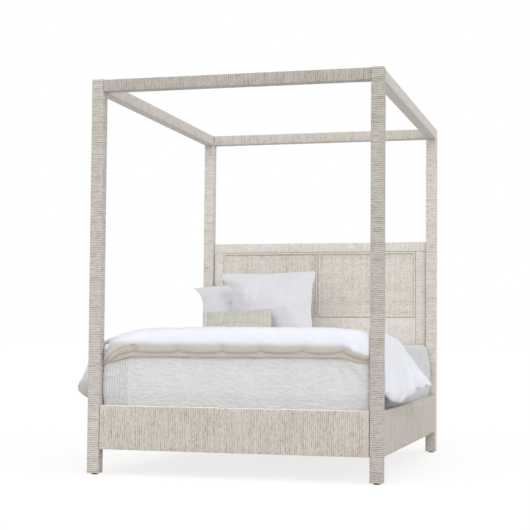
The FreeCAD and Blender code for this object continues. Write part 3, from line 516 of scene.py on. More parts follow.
def metal_finish(name, base, roughness, metallic, scratch):
    """Steel: fine drawn lines along it, or a painted skin with slight orange peel."""
    finish = Finish(name, roughness=roughness, specular=0.5)
    finish.set("Metallic", metallic)
    lines = finish.noise(finish.places(scratch, own=False), 1.0, 4.0, 0.6)
    finish.set("Base Color", finish.mix(lines, shade(base, 0.82), shade(base, 1.12)))
    finish.set("Roughness", finish.rise(lines, 0.2, 0.8, roughness * 0.8, roughness * 1.2))
    finish.bump(lines, 0.25, 0.0003)
    return finish.material


# Rope wound round posts, rails and boards

def rounded_outline(half_a, half_b, corner, across_a, across_b):
    """Points, outward directions and distances round a rectangle with rounded corners: on each
    corner the point is its centre plus the radius times (cos t, sin t)."""
    points, ways = [], []
    sides = ((1, 1, across_a), (-1, 1, across_b), (-1, -1, across_a), (1, -1, across_b))
    for k, (sign_a, sign_b, between) in enumerate(sides):
        centre = np.array([sign_a * (half_a - corner), sign_b * (half_b - corner)])
        t = (k + np.linspace(0.0, 1.0, 4)) * math.pi / 2
        way = np.stack([np.cos(t), np.sin(t)], -1)
        points.append(centre + corner * way)
        ways.append(way)
        last = points[-1][-1]
        ahead = sides[(k + 1) % 4]
        target = np.array([ahead[0] * (half_a - corner), ahead[1] * (half_b - corner)])
        target = target + corner * way[-1]
        part = (np.arange(between) + 1.0)[:, None] / (between + 1.0)
        points.append(last + (target - last) * part)
        ways.append(np.repeat(way[-1:], between, 0))
    points, ways = np.concatenate(points), np.concatenate(ways)
    gaps = np.linalg.norm(np.roll(points, -1, 0) - points, axis=1)
    return points, ways, np.concatenate([[0.0], np.cumsum(gaps)])


TURN_PHASES = np.array([0.0, 0.10, 0.28, 0.50, 0.72, 0.90])
TURN_DEPTHS = np.array([1.0, 0.50, 0.12, 0.0, 0.12, 0.50])


def turn_rows(run, pitch, rng):
    """Places, depth shares and turn numbers along a wound run: turns of uneven width side by
    side, each with a valley at either end and its crest in the middle."""
    count = max(3, int(round(run / pitch)))
    widths = rng.uniform(0.78, 1.22, count)
    edges = np.concatenate([[0.0], np.cumsum(widths)]) * run / widths.sum()
    places = edges[:-1, None] + np.diff(edges)[:, None] * TURN_PHASES
    depths = np.broadcast_to(TURN_DEPTHS, places.shape) * rng.uniform(0.75, 1.25, (count, 1))
    depths = depths + rng.uniform(0.0, 0.22, (count, 1)) * (TURN_DEPTHS < 1.0)
    turns = np.arange(count)[:, None] + TURN_PHASES
    return (np.append(places.ravel(), run), np.append(depths.ravel(), 1.0),
            np.append(turns.ravel(), float(count)))


def wound_sleeve(name, low, high, run_axis, wall, rope, material, seed, top=False):
    """The rope round one straight member. A ring of points round the member is carried along
    it, drawn in at each valley by valley * depth, and each turn wanders along the member by
    wander * sin(2 pi round / wave + drift). A member with a top end has its rope laid over
    that end in ever smaller squares."""
    rng = np.random.default_rng(seed)
    size = high - low
    cross = [axis for axis in (0, 1, 2) if axis != run_axis]
    half_a, half_b = size[cross[0]] / 2, size[cross[1]] / 2
    between = [min(6, max(1, int(round(half * 2 / 0.045)))) for half in (half_a, half_b)]
    outline, ways, rounds = rounded_outline(half_a, half_b, rope.corner, *between)
    rim = size[run_axis]
    places, depths, turns = turn_rows(rim - (rope.valley if top else 0.0), rope.pitch, rng)
    ring = outline[None] - ways[None] * (depths * rope.valley)[:, None, None]
    around = rounds[:-1]
    wave = rng.uniform(0.8, 1.3) * rounds[-1] / 2
    drift = 2.2 * np.sin(turns / 23.0 + rng.uniform(0, 6)) + turns / 17.0
    stray = rope.wander * (np.sin(TWO_PI * around[None] / wave + drift[:, None])
                           + 0.5 * np.sin(TWO_PI * 2 * around[None] / rounds[-1]
                                          - 1.7 * drift[:, None]))
    window = step(places, 0.0, 0.02) * (1.0 - step(places, rim - 0.02, rim))
    along = places[:, None] + stray * window[:, None]
    inner, _, _ = rounded_outline(half_a - wall + 0.0002, half_b - wall + 0.0002,
                                  0.0006, *between)
    rows = [np.dstack([ring, along])]
    marks = [turns]
    first = np.dstack([inner[None], np.zeros((1, len(inner)))])
    caps = ()
    if top:
        coils = int(round(min(half_a, half_b) / rope.pitch))
        shares = (np.arange(coils)[:, None] + TURN_PHASES[1:]).ravel() / coils
        shares = np.append(shares, (coils - 0.12) / coils)
        sink = np.append(np.tile(TURN_DEPTHS[1:], coils), 0.4)
        flat = outline[None] * (1.0 - shares)[:, None, None]
        height = rim - rope.valley * sink[:, None] * np.ones(len(outline))
        rows.append(np.dstack([flat, height]))
        marks.append(turns[-1] + shares * coils)
        ceiling = first.copy()
        ceiling[..., 2] = rim - wall - 0.0002
        rows = [ceiling, first] + rows
        marks = [turns[:1] - 2.0, turns[:1] - 1.0] + marks
    else:
        last = first.copy()
        last[..., 2] = rim
        rows = [first] + rows + [last]
        marks = [turns[:1] - 0.5] + marks + [turns[-1:] + 0.5]
    grid, marks = np.concatenate(rows), np.concatenate(marks)
    count, columns = grid.shape[:2]
    ci, cj = grid_corners(count, columns, closed_rows=not top, closed_columns=True)
    quads = (ci % count) * columns + cj % columns
    shift = rng.integers(1, 400) * 7.0
    uv = np.stack([rounds[cj], np.append(marks, marks[-1])[np.minimum(ci, count)] + shift], -1)
    if top:
        caps = (np.arange(columns)[::-1], np.arange(columns) + (count - 1) * columns)
    points = np.empty((count * columns, 3))
    flat = grid.reshape(-1, 3)
    middle = (low + high) / 2
    points[:, cross[0]] = middle[cross[0]] + flat[:, 0]
    points[:, cross[1]] = middle[cross[1]] + flat[:, 1]
    points[:, run_axis] = low[run_axis] + flat[:, 2]
    piece = add_piece(name, build_mesh(name, points, quads, uv, caps), material)
    return piece


def bead_ring(name, low, high, rope, material, seed):
    """A half round moulding wound with rope, mitred round a panel: across it the section is
    (width / 2 * cos t, height * sin t), and each run's half length grows with the distance
    of a point from the middle of the moulding, which gives the mitres."""
    rng = np.random.default_rng(seed)
    width, tall = 0.016, high[1] - low[1]
    half_x = (high[0] - low[0]) / 2 - width / 2
    half_z = (high[2] - low[2]) / 2 - width / 2
    t = np.linspace(0.0, math.pi, 9)
    out = np.concatenate([width / 2 * np.cos(t), [-width / 4, width / 4]])
    rise_up = np.concatenate([tall * np.sin(t), [0.0, 0.0]])
    rows, marks, total = [], [], 0.0
    for quarter, (run, off) in enumerate(((half_x, half_z), (half_z, half_x)) * 2):
        places, depths, turns = turn_rows(2 * run, rope.pitch, rng)
        keep = slice(0, -1)
        part = (places[keep] / run - 1.0)[:, None]
        shrink = 1.0 - 0.13 * depths[keep][:, None]
        along = part * (run + out[None])
        side = off + out[None] * shrink
        lift = rise_up[None] * shrink
        angle = quarter * math.pi / 2
        x = side * math.sin(angle) + along * math.cos(angle)
        z = side * math.cos(angle) - along * math.sin(angle)
        rows.append(np.stack([x, -lift, z], -1))
        marks.append(turns[keep] + total)
        total += turns[-1]
    grid, marks = np.concatenate(rows), np.append(np.concatenate(marks), total)
    count, columns = grid.shape[:2]
    ci, cj = grid_corners(count, columns, closed_rows=True, closed_columns=True)
    quads = (ci % count) * columns + cj % columns
    rounds = np.linspace(0.0, 0.04, columns + 1)
    uv = np.stack([rounds[cj], marks[ci]], -1)
    middle = np.array([(low[0] + high[0]) / 2, high[1], (low[2] + high[2]) / 2])
    points = grid.reshape(-1, 3) + middle
    return add_piece(name, build_mesh(name, points, quads, uv), material)


def woven_panel(name, low, high, material):
    """A panel covered with rope cloth: a flat block whose edges are rounded over by a quarter
    circle and whose two faces swell by a hair towards the middle."""
    steps_x, steps_z, edge = 60, 40, 0.004
    half = (high - low) / 2
    u = np.concatenate([[-1.0], np.linspace(-1 + edge / half[0], 1 - edge / half[0], steps_x),
                        [1.0]])
    v = np.concatenate([[-1.0], np.linspace(-1 + edge / half[2], 1 - edge / half[2], steps_z),
                        [1.0]])
    x, z = np.meshgrid(u, v)
    swell = 0.0008 * (1 - x ** 2) * (1 - z ** 2)
    rim = (np.abs(x) >= 1.0) | (np.abs(z) >= 1.0)
    depth = np.where(rim, half[1] - edge, half[1] - 0.001 + swell)
    front = np.stack([x * half[0], -depth, z * half[2]], -1)
    back = np.stack([x * half[0], depth, z * half[2]], -1)
    count = x.size
    ci, cj = grid_corners(*x.shape)
    quads = ci * x.shape[1] + cj
    border = np.concatenate([np.arange(x.shape[1]),
                             np.arange(1, x.shape[0]) * x.shape[1] + x.shape[1] - 1,
                             x.size - 2 - np.arange(x.shape[1] - 1),
                             np.arange(x.shape[0] - 2, 0, -1) * x.shape[1]])
    ahead = np.roll(border, -1)
    side = np.stack([ahead, border, border + count, ahead + count], -1)
    faces = np.concatenate([quads, quads[:, ::-1] + count, side])
    points = np.concatenate([front.reshape(-1, 3), back.reshape(-1, 3)]) + (low + high) / 2
    uv = points[faces][..., [0, 2]]
    return add_piece(name, build_mesh(name, points, faces, uv), material)


# Mattress, foundation and coverlet

def stuffed_block(name, low, high, corner, crown, tape, material):
    """A mattress or foundation: a rounded rectangle carried from the middle of its underside
    over its wall to the middle of its top. The wall bulges by crown * sin(pi height), a tape
    stands out near either edge, and top and underside are drawn in at the quilting."""
    half = (high - low) / 2
    tall = high[2] - low[2]
    outline, ways, rounds = rounded_outline(half[0], half[1], corner, 40, 48)
    edge = 0.022
    t = np.linspace(0.0, math.pi / 2, 6)
    shares = np.linspace(0.02, 1.0, 16)[:-1]
    inset, level, scale = [], [], []
    for part in shares:
        inset.append(edge), level.append(0.0), scale.append(part)
    for angle in t:
        inset.append(edge * (1 - math.sin(angle))), level.append(edge * (1 - math.cos(angle)))
        scale.append(1.0)
    for part in np.linspace(0.0, 1.0, 15)[1:-1]:
        high_up = edge + part * (tall - 2 * edge)
        bulge = crown * math.sin(math.pi * part)
        near = min(part, 1 - part) * (tall - 2 * edge)
        tape_out = tape * math.exp(-((near - 0.012) / 0.006) ** 2)
        inset.append(crown + tape - bulge - tape_out), level.append(high_up), scale.append(1.0)
    for angle in t[::-1]:
        inset.append(edge * (1 - math.sin(angle)))
        level.append(tall - edge * (1 - math.cos(angle)))
        scale.append(1.0)
    for part in shares[::-1]:
        inset.append(edge), level.append(tall), scale.append(part)
    inset, level, scale = map(np.array, (inset, level, scale))
    grid = ((outline[None] - ways[None] * (inset[:, None, None] + 0.0005))
            * scale[:, None, None])
    heights = np.repeat(level[:, None], len(outline), 1)
    tuft = 0.004 * (np.sin(TWO_PI * grid[..., 0] / 0.19) * np.sin(TWO_PI * grid[..., 1] / 0.19))
    heights = heights - np.where(scale[:, None] < 1.0, np.abs(tuft), 0.0) * np.where(
        level[:, None] > tall / 2, 1.0, -1.0)
    points = np.dstack([grid, heights]).reshape(-1, 3)
    points[:, :2] += ((low + high) / 2)[:2]
    points[:, 2] += low[2]
    count, columns = grid.shape[:2]
    ci, cj = grid_corners(count, columns, closed_columns=True)
    quads = ci * columns + cj % columns
    run = np.concatenate([[0.0], np.cumsum(np.hypot(np.diff(inset), np.diff(level)) + 0.02)])
    uv = np.stack([rounds[cj], run[ci]], -1)
    caps = (np.arange(columns)[::-1], np.arange(columns) + (count - 1) * columns)
    return add_piece(name, build_mesh(name, points, quads, uv, caps), material)


# Left foot corner of the coverlet seen from above: round the inner back corner of the post
AT_POST = np.array([(-0.7723, -0.9600), (-0.7723, -0.9740), (-0.7715, -0.9880),
                    (-0.7660, -0.9985), (-0.7560, -1.0040), (-0.7515, -1.0110),
                    (-0.7500, -1.0200), (-0.7420, -1.0272), (-0.7240, -1.0280),
                    (-0.7043, -1.0280)])


def lay_coverlet(name, low, high, material):
    """The coverlet as one sheet: columns run along the foot and the two sides, and each column
    goes from the hem up the side, round the edge by a quarter circle and across the top to
    the middle line. The sides hang in slack folds that grow towards the hem, and the cloth
    is gathered at the two foot corners."""
    top, hem = high[2], low[2]
    half, foot, head = 0.7723, -1.0280, high[1]
    corner, edge = 0.068, 0.042
    side_count, front_count = 150, 141
    side = np.linspace(head, foot + corner, side_count)
    t = np.linspace(0.0, math.pi / 2, 16)[1:-1]
    front = np.linspace(-half + corner, half - corner, front_count)
    left = np.stack([np.full(side_count, -half), side], -1)
    bend_left = smooth_curve(t, np.linspace(0.0, math.pi / 2, len(AT_POST)), AT_POST)
    straight = np.stack([front, np.full(front_count, foot)], -1)
    path = np.concatenate([left, bend_left, straight, (bend_left * [-1, 1])[::-1],
                           (left * [-1, 1])[::-1]])
    ways = np.concatenate([np.repeat([[-1.0, 0.0]], side_count, 0),
                           np.stack([-np.cos(t), -np.sin(t)], -1),
                           np.repeat([[0.0, -1.0]], front_count, 0),
                           np.stack([np.cos(t), -np.sin(t)], -1)[::-1],
                           np.repeat([[1.0, 0.0]], side_count, 0)])
    along = np.concatenate([[0.0], np.cumsum(np.linalg.norm(np.diff(path, axis=0), axis=1))])
    drop = np.linspace(hem, top - edge, 40)
    arc = np.linspace(0.0, math.pi / 2, 8)[1:]
    inward = np.linspace(0.0, 1.0, 26)[1:]
    rows, run = [], []
    for height in drop:
        rows.append(np.column_stack([path, np.full(len(path), height)]))
        run.append(height - hem)
    for angle in arc:
        shift = edge * (1 - math.cos(angle))
        rows.append(np.column_stack([path - ways * shift,
                                     np.full(len(path), top - edge + edge * math.sin(angle))]))
        run.append(run[-1] + edge * math.pi / 2 / len(arc))
    rim = path - ways * edge
    spine = np.stack([np.zeros(len(path)), np.maximum(rim[:, 1], foot + half)], -1)
    for part in inward:
        rows.append(np.column_stack([rim + (spine - rim) * part, np.full(len(path), top)]))
        run.append(run[-1] + 0.73 / len(inward))
    grid = np.stack(rows)
    hang = np.clip((top - edge - grid[..., 2]) / (top - edge - hem), 0.0, 1.0)
    free = step(grid[..., 2], 0.395, 0.52)
    way = np.dstack([np.broadcast_to(ways[:, 0], hang.shape), np.broadcast_to(ways[:, 1],
                                                                           hang.shape)])
    wave = (np.sin(along / 0.071 + 1.3 * np.sin(along / 0.31)) * 0.5
            + 0.5 * np.sin(along / 0.043 + 2.0 * np.sin(along / 0.23)))
    sideways = np.abs(ways[:, 0])
    slack = (0.0012 + 0.0030 * sideways)[None] * hang * free * wave[None]
    slack = slack - 0.0016
    slack = slack + 0.0024 * ripple(grid * [1, 1, 2.4], 0.11, 5) * (0.4 + hang) * free
    at_front = np.abs(ways[:, 1])[None] ** 4
    belly = step(grid[..., 2], 0.378, 0.462) * (1.0 - step(grid[..., 2], 0.48, 0.66))
    slack = slack + 0.0175 * belly * at_front
    ledge = (grid[..., 2] - 0.655) * 0.75 + (grid[..., 0] - 0.60) * 0.66
    slack = slack + (0.0085 * step(ledge, -0.022, 0.012) * (1.0 - step(ledge, 0.03, 0.12))
                     * step(grid[..., 0], 0.575, 0.66) * at_front * free)
    head_end = step(grid[..., 1], head - 0.30, head - 0.05) * step(grid[..., 0], 0.6, 0.7)
    slack = slack + 0.019 * head_end * step(hang, 0.0, 0.30) * (1.0 - step(hang, 0.55, 0.95))
    from_corner = grid - [0.54, 0.0, 0.72]
    spoke = np.arctan2(from_corner[..., 2], from_corner[..., 0])
    far = np.hypot(from_corner[..., 2], from_corner[..., 0])
    slack = slack + (0.0036 * np.sin(spoke * 17.0 + 0.6) * np.exp(-((far - 0.19) / 0.08) ** 2)
                     * at_front * (grid[..., 0] > 0.54))
    bend_middle = along[side_count + len(t) // 2]
    pinch = sum(np.exp(-((along - at) / 0.035) ** 2) * np.sin((along - at) / 0.0052)
                for at in (bend_middle, along[-1] - bend_middle))
    slack = slack + 0.0022 * pinch[None] * step(grid[..., 2], top - 0.02, top - 0.10) * free
    grid[..., :2] += way * slack[..., None] * (grid[..., 2] < top - 0.001)[..., None]
    flat = grid[..., 2] > top - 0.001
    grid[..., 2] -= np.where(flat, 0.0015 * (1 + ripple(grid, 0.16, 6)), 0.0)
    count, columns = grid.shape[:2]
    ci, cj = grid_corners(count, columns)
    quads = ci * columns + cj
    uv = np.stack([along[cj], np.array(run)[ci]], -1)
    points = grid.reshape(-1, 3)
    mesh = build_mesh(name, points, quads, uv)
    ribbed = step(grid[..., 0], -0.757, -0.735) * (1.0 - step(grid[..., 0], -0.612, -0.590))
    mark = mesh.attributes.new("ribs", "FLOAT", "POINT")
    mark.data.foreach_set("value", (ribbed * at_front).astype(np.float32).ravel())
    piece = add_piece(name, mesh, material)
    weld = piece.modifiers.new("Middle seam", "WELD")
    weld.merge_threshold = 0.00003
    wall = piece.modifiers.new("Quilted cloth", "SOLIDIFY")
    wall.thickness, wall.offset = 0.006, -1.0
    return piece


# Duvet

# Along the duvet from foot to head: place, overhang and hem on the left, on the right, and how
# far the side has slackened
FALLS = np.array([
    (0.00, 0.80, 1.04, 0.39, 1.15, 0.00), (0.08, 0.98, 1.03, 0.47, 1.08, 0.00),
    (0.20, 0.92, 1.02, 0.58, 1.03, 0.00), (0.34, 0.75, 1.05, 0.64, 0.99, 0.00),
    (0.46, 0.79, 1.07, 0.69, 1.02, 0.05), (0.58, 0.70, 1.08, 0.75, 1.09, 0.15),
    (0.70, 0.73, 1.10, 0.81, 1.17, 0.35), (0.85, 0.81, 1.12, 0.92, 1.18, 0.70),
    (1.00, 0.87, 1.15, 1.00, 1.19, 1.00)])

# Outer line of half a section from the crown to the hem, full, slack, and bent out at the left
# near the foot: share of the half coverlet, of the overhang, of the fall
FULL_LINE = np.array([(0.0, 0.0, 0.0), (0.40, 0.0, 0.004), (0.730, 0.0, 0.020),
                      (0.900, 0.03, 0.055), (1.0, 0.14, 0.170), (1.0, 0.61, 0.440),
                      (1.0, 1.0, 0.770), (1.0, 0.96, 0.930), (1.0, 0.75, 1.0)])
SLACK_LINE = np.array([(0.0, 0.0, 0.0), (0.40, 0.0, 0.010), (0.730, 0.0, 0.050),
                       (0.880, 0.0, 0.110), (0.975, 0.03, 0.225), (1.0, 0.40, 0.550),
                       (1.0, 0.92, 0.900), (1.0, 1.0, 0.970), (1.0, 0.86, 1.0)])
BENT_LINE = np.array([(0.0, 0.0, 0.0), (0.40, 0.0, 0.004), (0.730, 0.0, 0.020),
                      (0.900, 0.03, 0.055), (1.0, 0.16, 0.165), (1.0, 0.60, 0.440),
                      (1.0, 0.89, 0.715), (1.0, 1.04, 0.880), (1.0, 0.58, 1.030)])
TONGUE = 3.5
HEM = 8.0

# Along the lip at the foot: height of its top, of its dark fold and of its lower edge
LIP_LINE = np.array([
    (-0.742, 0.690, 0.621, 0.606), (-0.700, 0.737, 0.639, 0.618),
    (-0.651, 0.767, 0.665, 0.634), (-0.600, 0.786, 0.676, 0.648),
    (-0.500, 0.800, 0.679, 0.651), (-0.300, 0.810, 0.680, 0.652), (-0.100, 0.815, 0.680, 0.652),
    (0.100, 0.818, 0.682, 0.654), (0.300, 0.820, 0.684, 0.656), (0.500, 0.819, 0.683, 0.655),
    (0.610, 0.814, 0.683, 0.653), (0.640, 0.812, 0.676, 0.646), (0.665, 0.809, 0.664, 0.634),
    (0.700, 0.806, 0.657, 0.630), (0.742, 0.803, 0.651, 0.628)])
LIP_END = 0.7535
# Along the lip: height at which its white face gives way to the reverse, and half the width of
# that change
TURNING = np.array([
    (-0.742, 0.705, 0.014), (-0.700, 0.728, 0.018), (-0.650, 0.730, 0.018),
    (0.0, 0.7275, 0.018), (0.590, 0.7235, 0.016), (0.645, 0.7195, 0.010),
    (0.665, 0.694, 0.007), (0.700, 0.685, 0.007), (0.742, 0.6715, 0.007)])
NOTCHES = np.array([-0.563, -0.309, -0.058, 0.159, 0.390, 0.606])


def duvet_sections(places, sides):
    """Outer points (x, z) of the duvet's drape: for each place along the bed, and each signed
    place along its outer line from hem (-8) over the crown (0) to hem (8)."""
    crown, half = 0.8165, 0.7726
    rows = smooth_curve(places, FALLS[:, 0], FALLS[:, 1:])
    number = np.arange(len(FULL_LINE))
    full = smooth_curve(np.abs(sides), number, FULL_LINE)
    slack = smooth_curve(np.abs(sides), number, SLACK_LINE)
    blend = rows[:, 4][:, None, None]
    line = full[None] + blend * (slack - full)[None]
    bent = smooth_curve(np.abs(sides), number, BENT_LINE)
    near_foot = ((1.0 - step(places, 0.25, 0.60))[:, None] * (sides < 0)[None])[..., None]
    line = line + near_foot * (bent[None] - line)
    right = (sides > 0)[None]
    overhang = np.where(right, rows[:, 2][:, None], rows[:, 0][:, None]) * 0.1695
    hem = np.where(right, rows[:, 3][:, None], rows[:, 1][:, None]) * 0.405
    x = np.sign(sides)[None] * (line[..., 0] * half + line[..., 1] * overhang)
    z = crown - line[..., 2] * (crown - hem)
    at_foot = (1.0 - step(places, 0.10, 0.50))[:, None]
    z = z - 0.034 * at_foot * step(-x, 0.50, 0.75) * (1.0 - step(-sides, 4.0, 5.5))
    return x, z


def fold_duvet(name, low, high, looks, material):
    """The folded duvet as a padded sheet over a T of grid cells: its drape lies across the bed
    and hangs down both sides, and its tongue rolls over the foot edge between the posts,
    folds in at a dark line and ends in its turned hem. Outer and inner points share the
    border, where the thickness t * sqrt(1 - (1 - d / r)^2) comes to nothing."""
    under, half, edge, face = 0.7236, 0.7728, 0.0425, -1.0284
    start, end = -0.9955, high[1]
    front = low[1] + 0.0012
    dense = np.linspace(-HEM, HEM, 2001)
    mean_x, mean_z = duvet_sections(np.array([0.4]), dense)
    run = np.concatenate([[0.0], np.cumsum(np.hypot(np.diff(mean_x[0]), np.diff(mean_z[0])))])
    left = np.interp(-TONGUE, dense, run)
    right = np.interp(TONGUE, dense, run)
    lines = np.concatenate([np.linspace(0.0, left, 60)[:-1], np.linspace(left, right, 190)[:-1],
                            np.linspace(right, run[-1], 60)])
    sides = np.interp(lines, run, dense)
    tongue = (sides > -TONGUE - 1e-6) & (sides < TONGUE + 1e-6)
    long = 118
    places = np.linspace(0.0, 1.0, long)
    y = start + places * (end - start)
    x, z = duvet_sections(places, sides)
    outer = np.stack([x, np.broadcast_to(y[:, None], x.shape), z], -1)
    across = np.stack([np.gradient(x, axis=1), np.gradient(z, axis=1)], -1)
    across /= np.linalg.norm(across, axis=-1, keepdims=True)
    normal = np.stack([-across[..., 1], np.zeros(x.shape), across[..., 0]], -1)
    depth = np.abs(sides)
    thick = 0.092 - 0.046 * step(depth, 3.0, 5.0) - 0.028 * step(depth, 5.6, 7.4)
    beside = outer - normal * thick[None, :, None]
    flat_below = np.stack([x, outer[..., 1], np.full(x.shape, under)], -1)
    blend = step(depth, 3.0, 4.2)[None, :, None]
    inner = flat_below + (beside - flat_below) * blend
    stuffed = ((1.0 - step(places, 0.20, 0.50))[:, None] * (step(depth, 4.0, 5.0)
                                                            * (sides < 0))[None])
    inner[..., 0] += (-half - 0.0004 - inner[..., 0]) * stuffed
    bend_x, bend_z = half - edge, under - edge
    ix, iz = np.abs(inner[..., 0]), inner[..., 2]
    away = np.hypot(ix - bend_x, iz - bend_z)
    near = (ix > bend_x) & (iz > bend_z) & (away < edge)
    ratio = np.where(near, edge / np.maximum(away, 1e-6), 1.0)
    ix = np.where(near, bend_x + (ix - bend_x) * ratio, ix)
    iz = np.where(near, bend_z + (iz - bend_z) * ratio, iz)
    ix = np.where(iz <= bend_z, np.maximum(ix, half), ix)
    inner[..., 0], inner[..., 2] = np.sign(inner[..., 0]) * ix, iz

    # The filling, the sewn channels and the folds of the hanging sides
    s = lines - (left + right) / 2
    along = np.broadcast_to(y[:, None], x.shape)
    channel = np.abs(np.sin(math.pi * (s[None] + 0.058) / looks.channel_step))
    bars = np.abs(np.sin(math.pi * (along - front - 0.12) / looks.channel_step))
    puff = looks.puff * (np.minimum(channel, 1.0) ** 0.55 * bars ** 0.55 - 0.85)
    on_side = step(depth, 4.0, 6.0)[None]
    fold = (np.sin(along / 0.052 + 2.6 * np.sin(along / 0.19) + 0.6 * s[None] / 0.2)
            + 0.6 * np.sin(along / 0.031 + s[None] / 0.11))
    fold = 0.0075 * fold * on_side
    creases = 0.0035 * ripple(outer * [1.0, 1.0, 0.55], 0.13, 11)
    creases = creases + 0.0018 * ripple(outer * [1.0, 1.4, 1.0], 0.05, 12)
    lift = puff * (1 - 0.75 * on_side) + fold + creases
    lift = lift * (1 - step(along, end - 0.05, end) * 0.6)
    outer = outer + normal * lift[..., None]
    inner = inner + normal * (fold * (np.abs(inner[..., 0]) > half + 0.012))[..., None]

    # The tongue over the foot edge
    cols = np.flatnonzero(tongue)
    tx = outer[0, cols, 0]
    reach_x = np.abs(tx)
    widest = np.array([reach_x[0], reach_x[-1]])[(tx > 0).astype(int)]
    tx = np.sign(tx) * np.where(reach_x > 0.68, 0.68 + (reach_x - 0.68)
                                * (LIP_END - 0.68) / (widest - 0.68), reach_x)
    tx[[1, -2]] = tx[[0, -1]] + [0.0015, -0.0015]
    shape = smooth_curve(tx, LIP_LINE[:, 0], LIP_LINE[:, 1:])
    crest, fold_z, hem_z = shape[:, 0], shape[:, 1], shape[:, 2]
    gap = np.abs(tx[:, None] - NOTCHES[None])
    nearest = gap.min(1)
    notch = np.exp(-(nearest / 0.014) ** 2)
    between = np.clip(nearest / 0.115, 0.0, 1.0)
    fold_z = fold_z + 0.0098 * notch - 0.0045 * between ** 1.5
    wide = np.exp(-(nearest / 0.030) ** 2)
    first = outer[0, cols]
    r0 = first[:, 2]
    front_y = front + 0.0035 * np.abs(np.sin(tx / 0.21)) + 0.006 * step(np.abs(tx), 0.60, 0.70)
    front_y = front_y + 0.036 * np.clip((-tx - 0.690) / 0.062, 0.0, 1.0) ** 1.6
    knots = [
        (first[:, 1], r0),
        (front_y + 0.058, r0 + (crest - r0) * 0.65 + 0.001),
        (front_y + 0.036, crest - 0.002 - 0.002 * wide),
        (front_y + 0.016, crest - 0.016),
        (front_y + 0.004, crest - 0.042),
        (front_y + 0.0, crest - 0.074),
        (front_y + 0.0015 + 0.002 * wide, fold_z + 0.034),
        (front_y + 0.007 + 0.007 * wide, fold_z + 0.016),
        (front_y + 0.015 + 0.005 * wide, fold_z + 0.0045),
        (front_y + 0.027, fold_z + 0.001),
        (front_y + 0.030, fold_z - 0.0015),
        (front_y + 0.029, fold_z - 0.0045),
        (front_y + 0.0275, fold_z - 0.011),
        (front_y + 0.0285, hem_z + 0.006),
        (front_y + 0.033, hem_z + 0.0005),
        (np.full(len(cols), face - 0.0015), hem_z + 0.003),
    ]
    knot_y = np.stack([k[0] for k in knots])
    knot_z = np.stack([k[1] for k in knots])
    number = np.arange(len(knots), dtype=float)
    spans = np.hypot(np.diff(knot_y.mean(1)), np.diff(knot_z.mean(1)))
    reach = np.concatenate([[0.0], np.cumsum(spans)])
    fine = np.unique(np.concatenate([
        np.interp(np.arange(0.0, reach[7], 0.0068), reach, number),
        np.linspace(7.0, 15.0, 41)]))
    ly = smooth_curve(fine, number, knot_y)
    lz = smooth_curve(fine, number, knot_z)
    ly = np.where(fine[:, None] > 3.0, np.minimum(ly, face - 0.0035), ly)
    first_x = outer[0, cols, 0]
    lip_x = first_x + (tx - first_x) * step(fine, 0.0, 0.8)[:, None]
    lip_out = np.stack([lip_x, ly, lz], -1)[1:]
    part = fine / number[-1]
    inside_run = [(0.0, start, under), (0.30, face + edge, under),
                  (0.38, face + edge * 0.62, under - edge * 0.075),
                  (0.46, face + edge * 0.29, under - edge * 0.29),
                  (0.54, face + edge * 0.075, under - edge * 0.62),
                  (0.62, face, under - edge), (1.0, face, 0.0)]
    inside_run = np.array(inside_run)
    iy = np.interp(part, inside_run[:, 0], inside_run[:, 1])
    iz = np.interp(part, inside_run[:, 0], inside_run[:, 2])
    iz = np.repeat(iz[:, None], len(cols), 1)
    lower = part > 0.62
    down = (part[lower] - 0.62) / 0.38
    iz[lower] = (under - edge) + down[:, None] * (hem_z[None] + 0.003 - (under - edge))
    lip_in = np.stack([lip_x, np.broadcast_to(iy[:, None] - 0.0006, iz.shape), iz], -1)[1:]
    roll = step(lz[1:], 0.66, 0.80)
    soft = 0.0016 * ripple(lip_out * [1.0, 1.0, 0.8], 0.10, 21) + 0.0009 * ripple(
        lip_out * [1.3, 1.0, 0.9], 0.035, 22)
    lip_out[..., 1] -= (soft * step(fine[1:], 1.0, 4.0)[:, None]
                        * (1 - 0.7 * step(fine[1:], 6.0, 8.0)[:, None]))
    lip_out[..., 2] += soft * roll

    # The T of cells: thickness falls to nothing at its border
    rows_lip = len(fine) - 1
    total = rows_lip + long
    columns = len(sides)
    out_grid = np.full((total, columns, 3), np.nan)
    in_grid = np.full((total, columns, 3), np.nan)
    out_grid[rows_lip:], in_grid[rows_lip:] = outer, inner
    out_grid[:rows_lip][:, cols] = lip_out[::-1]
    in_grid[:rows_lip][:, cols] = lip_in[::-1]
    present = ~np.isnan(out_grid[..., 0])

    def gather(distance, radius):
        """A quarter circle, sqrt(1 - (1 - t)^2), from 0 at the border to 1 at the radius."""
        t = np.clip(distance / radius, 0.0, 1.0)
        return np.sqrt(1.0 - (1.0 - t) ** 2)

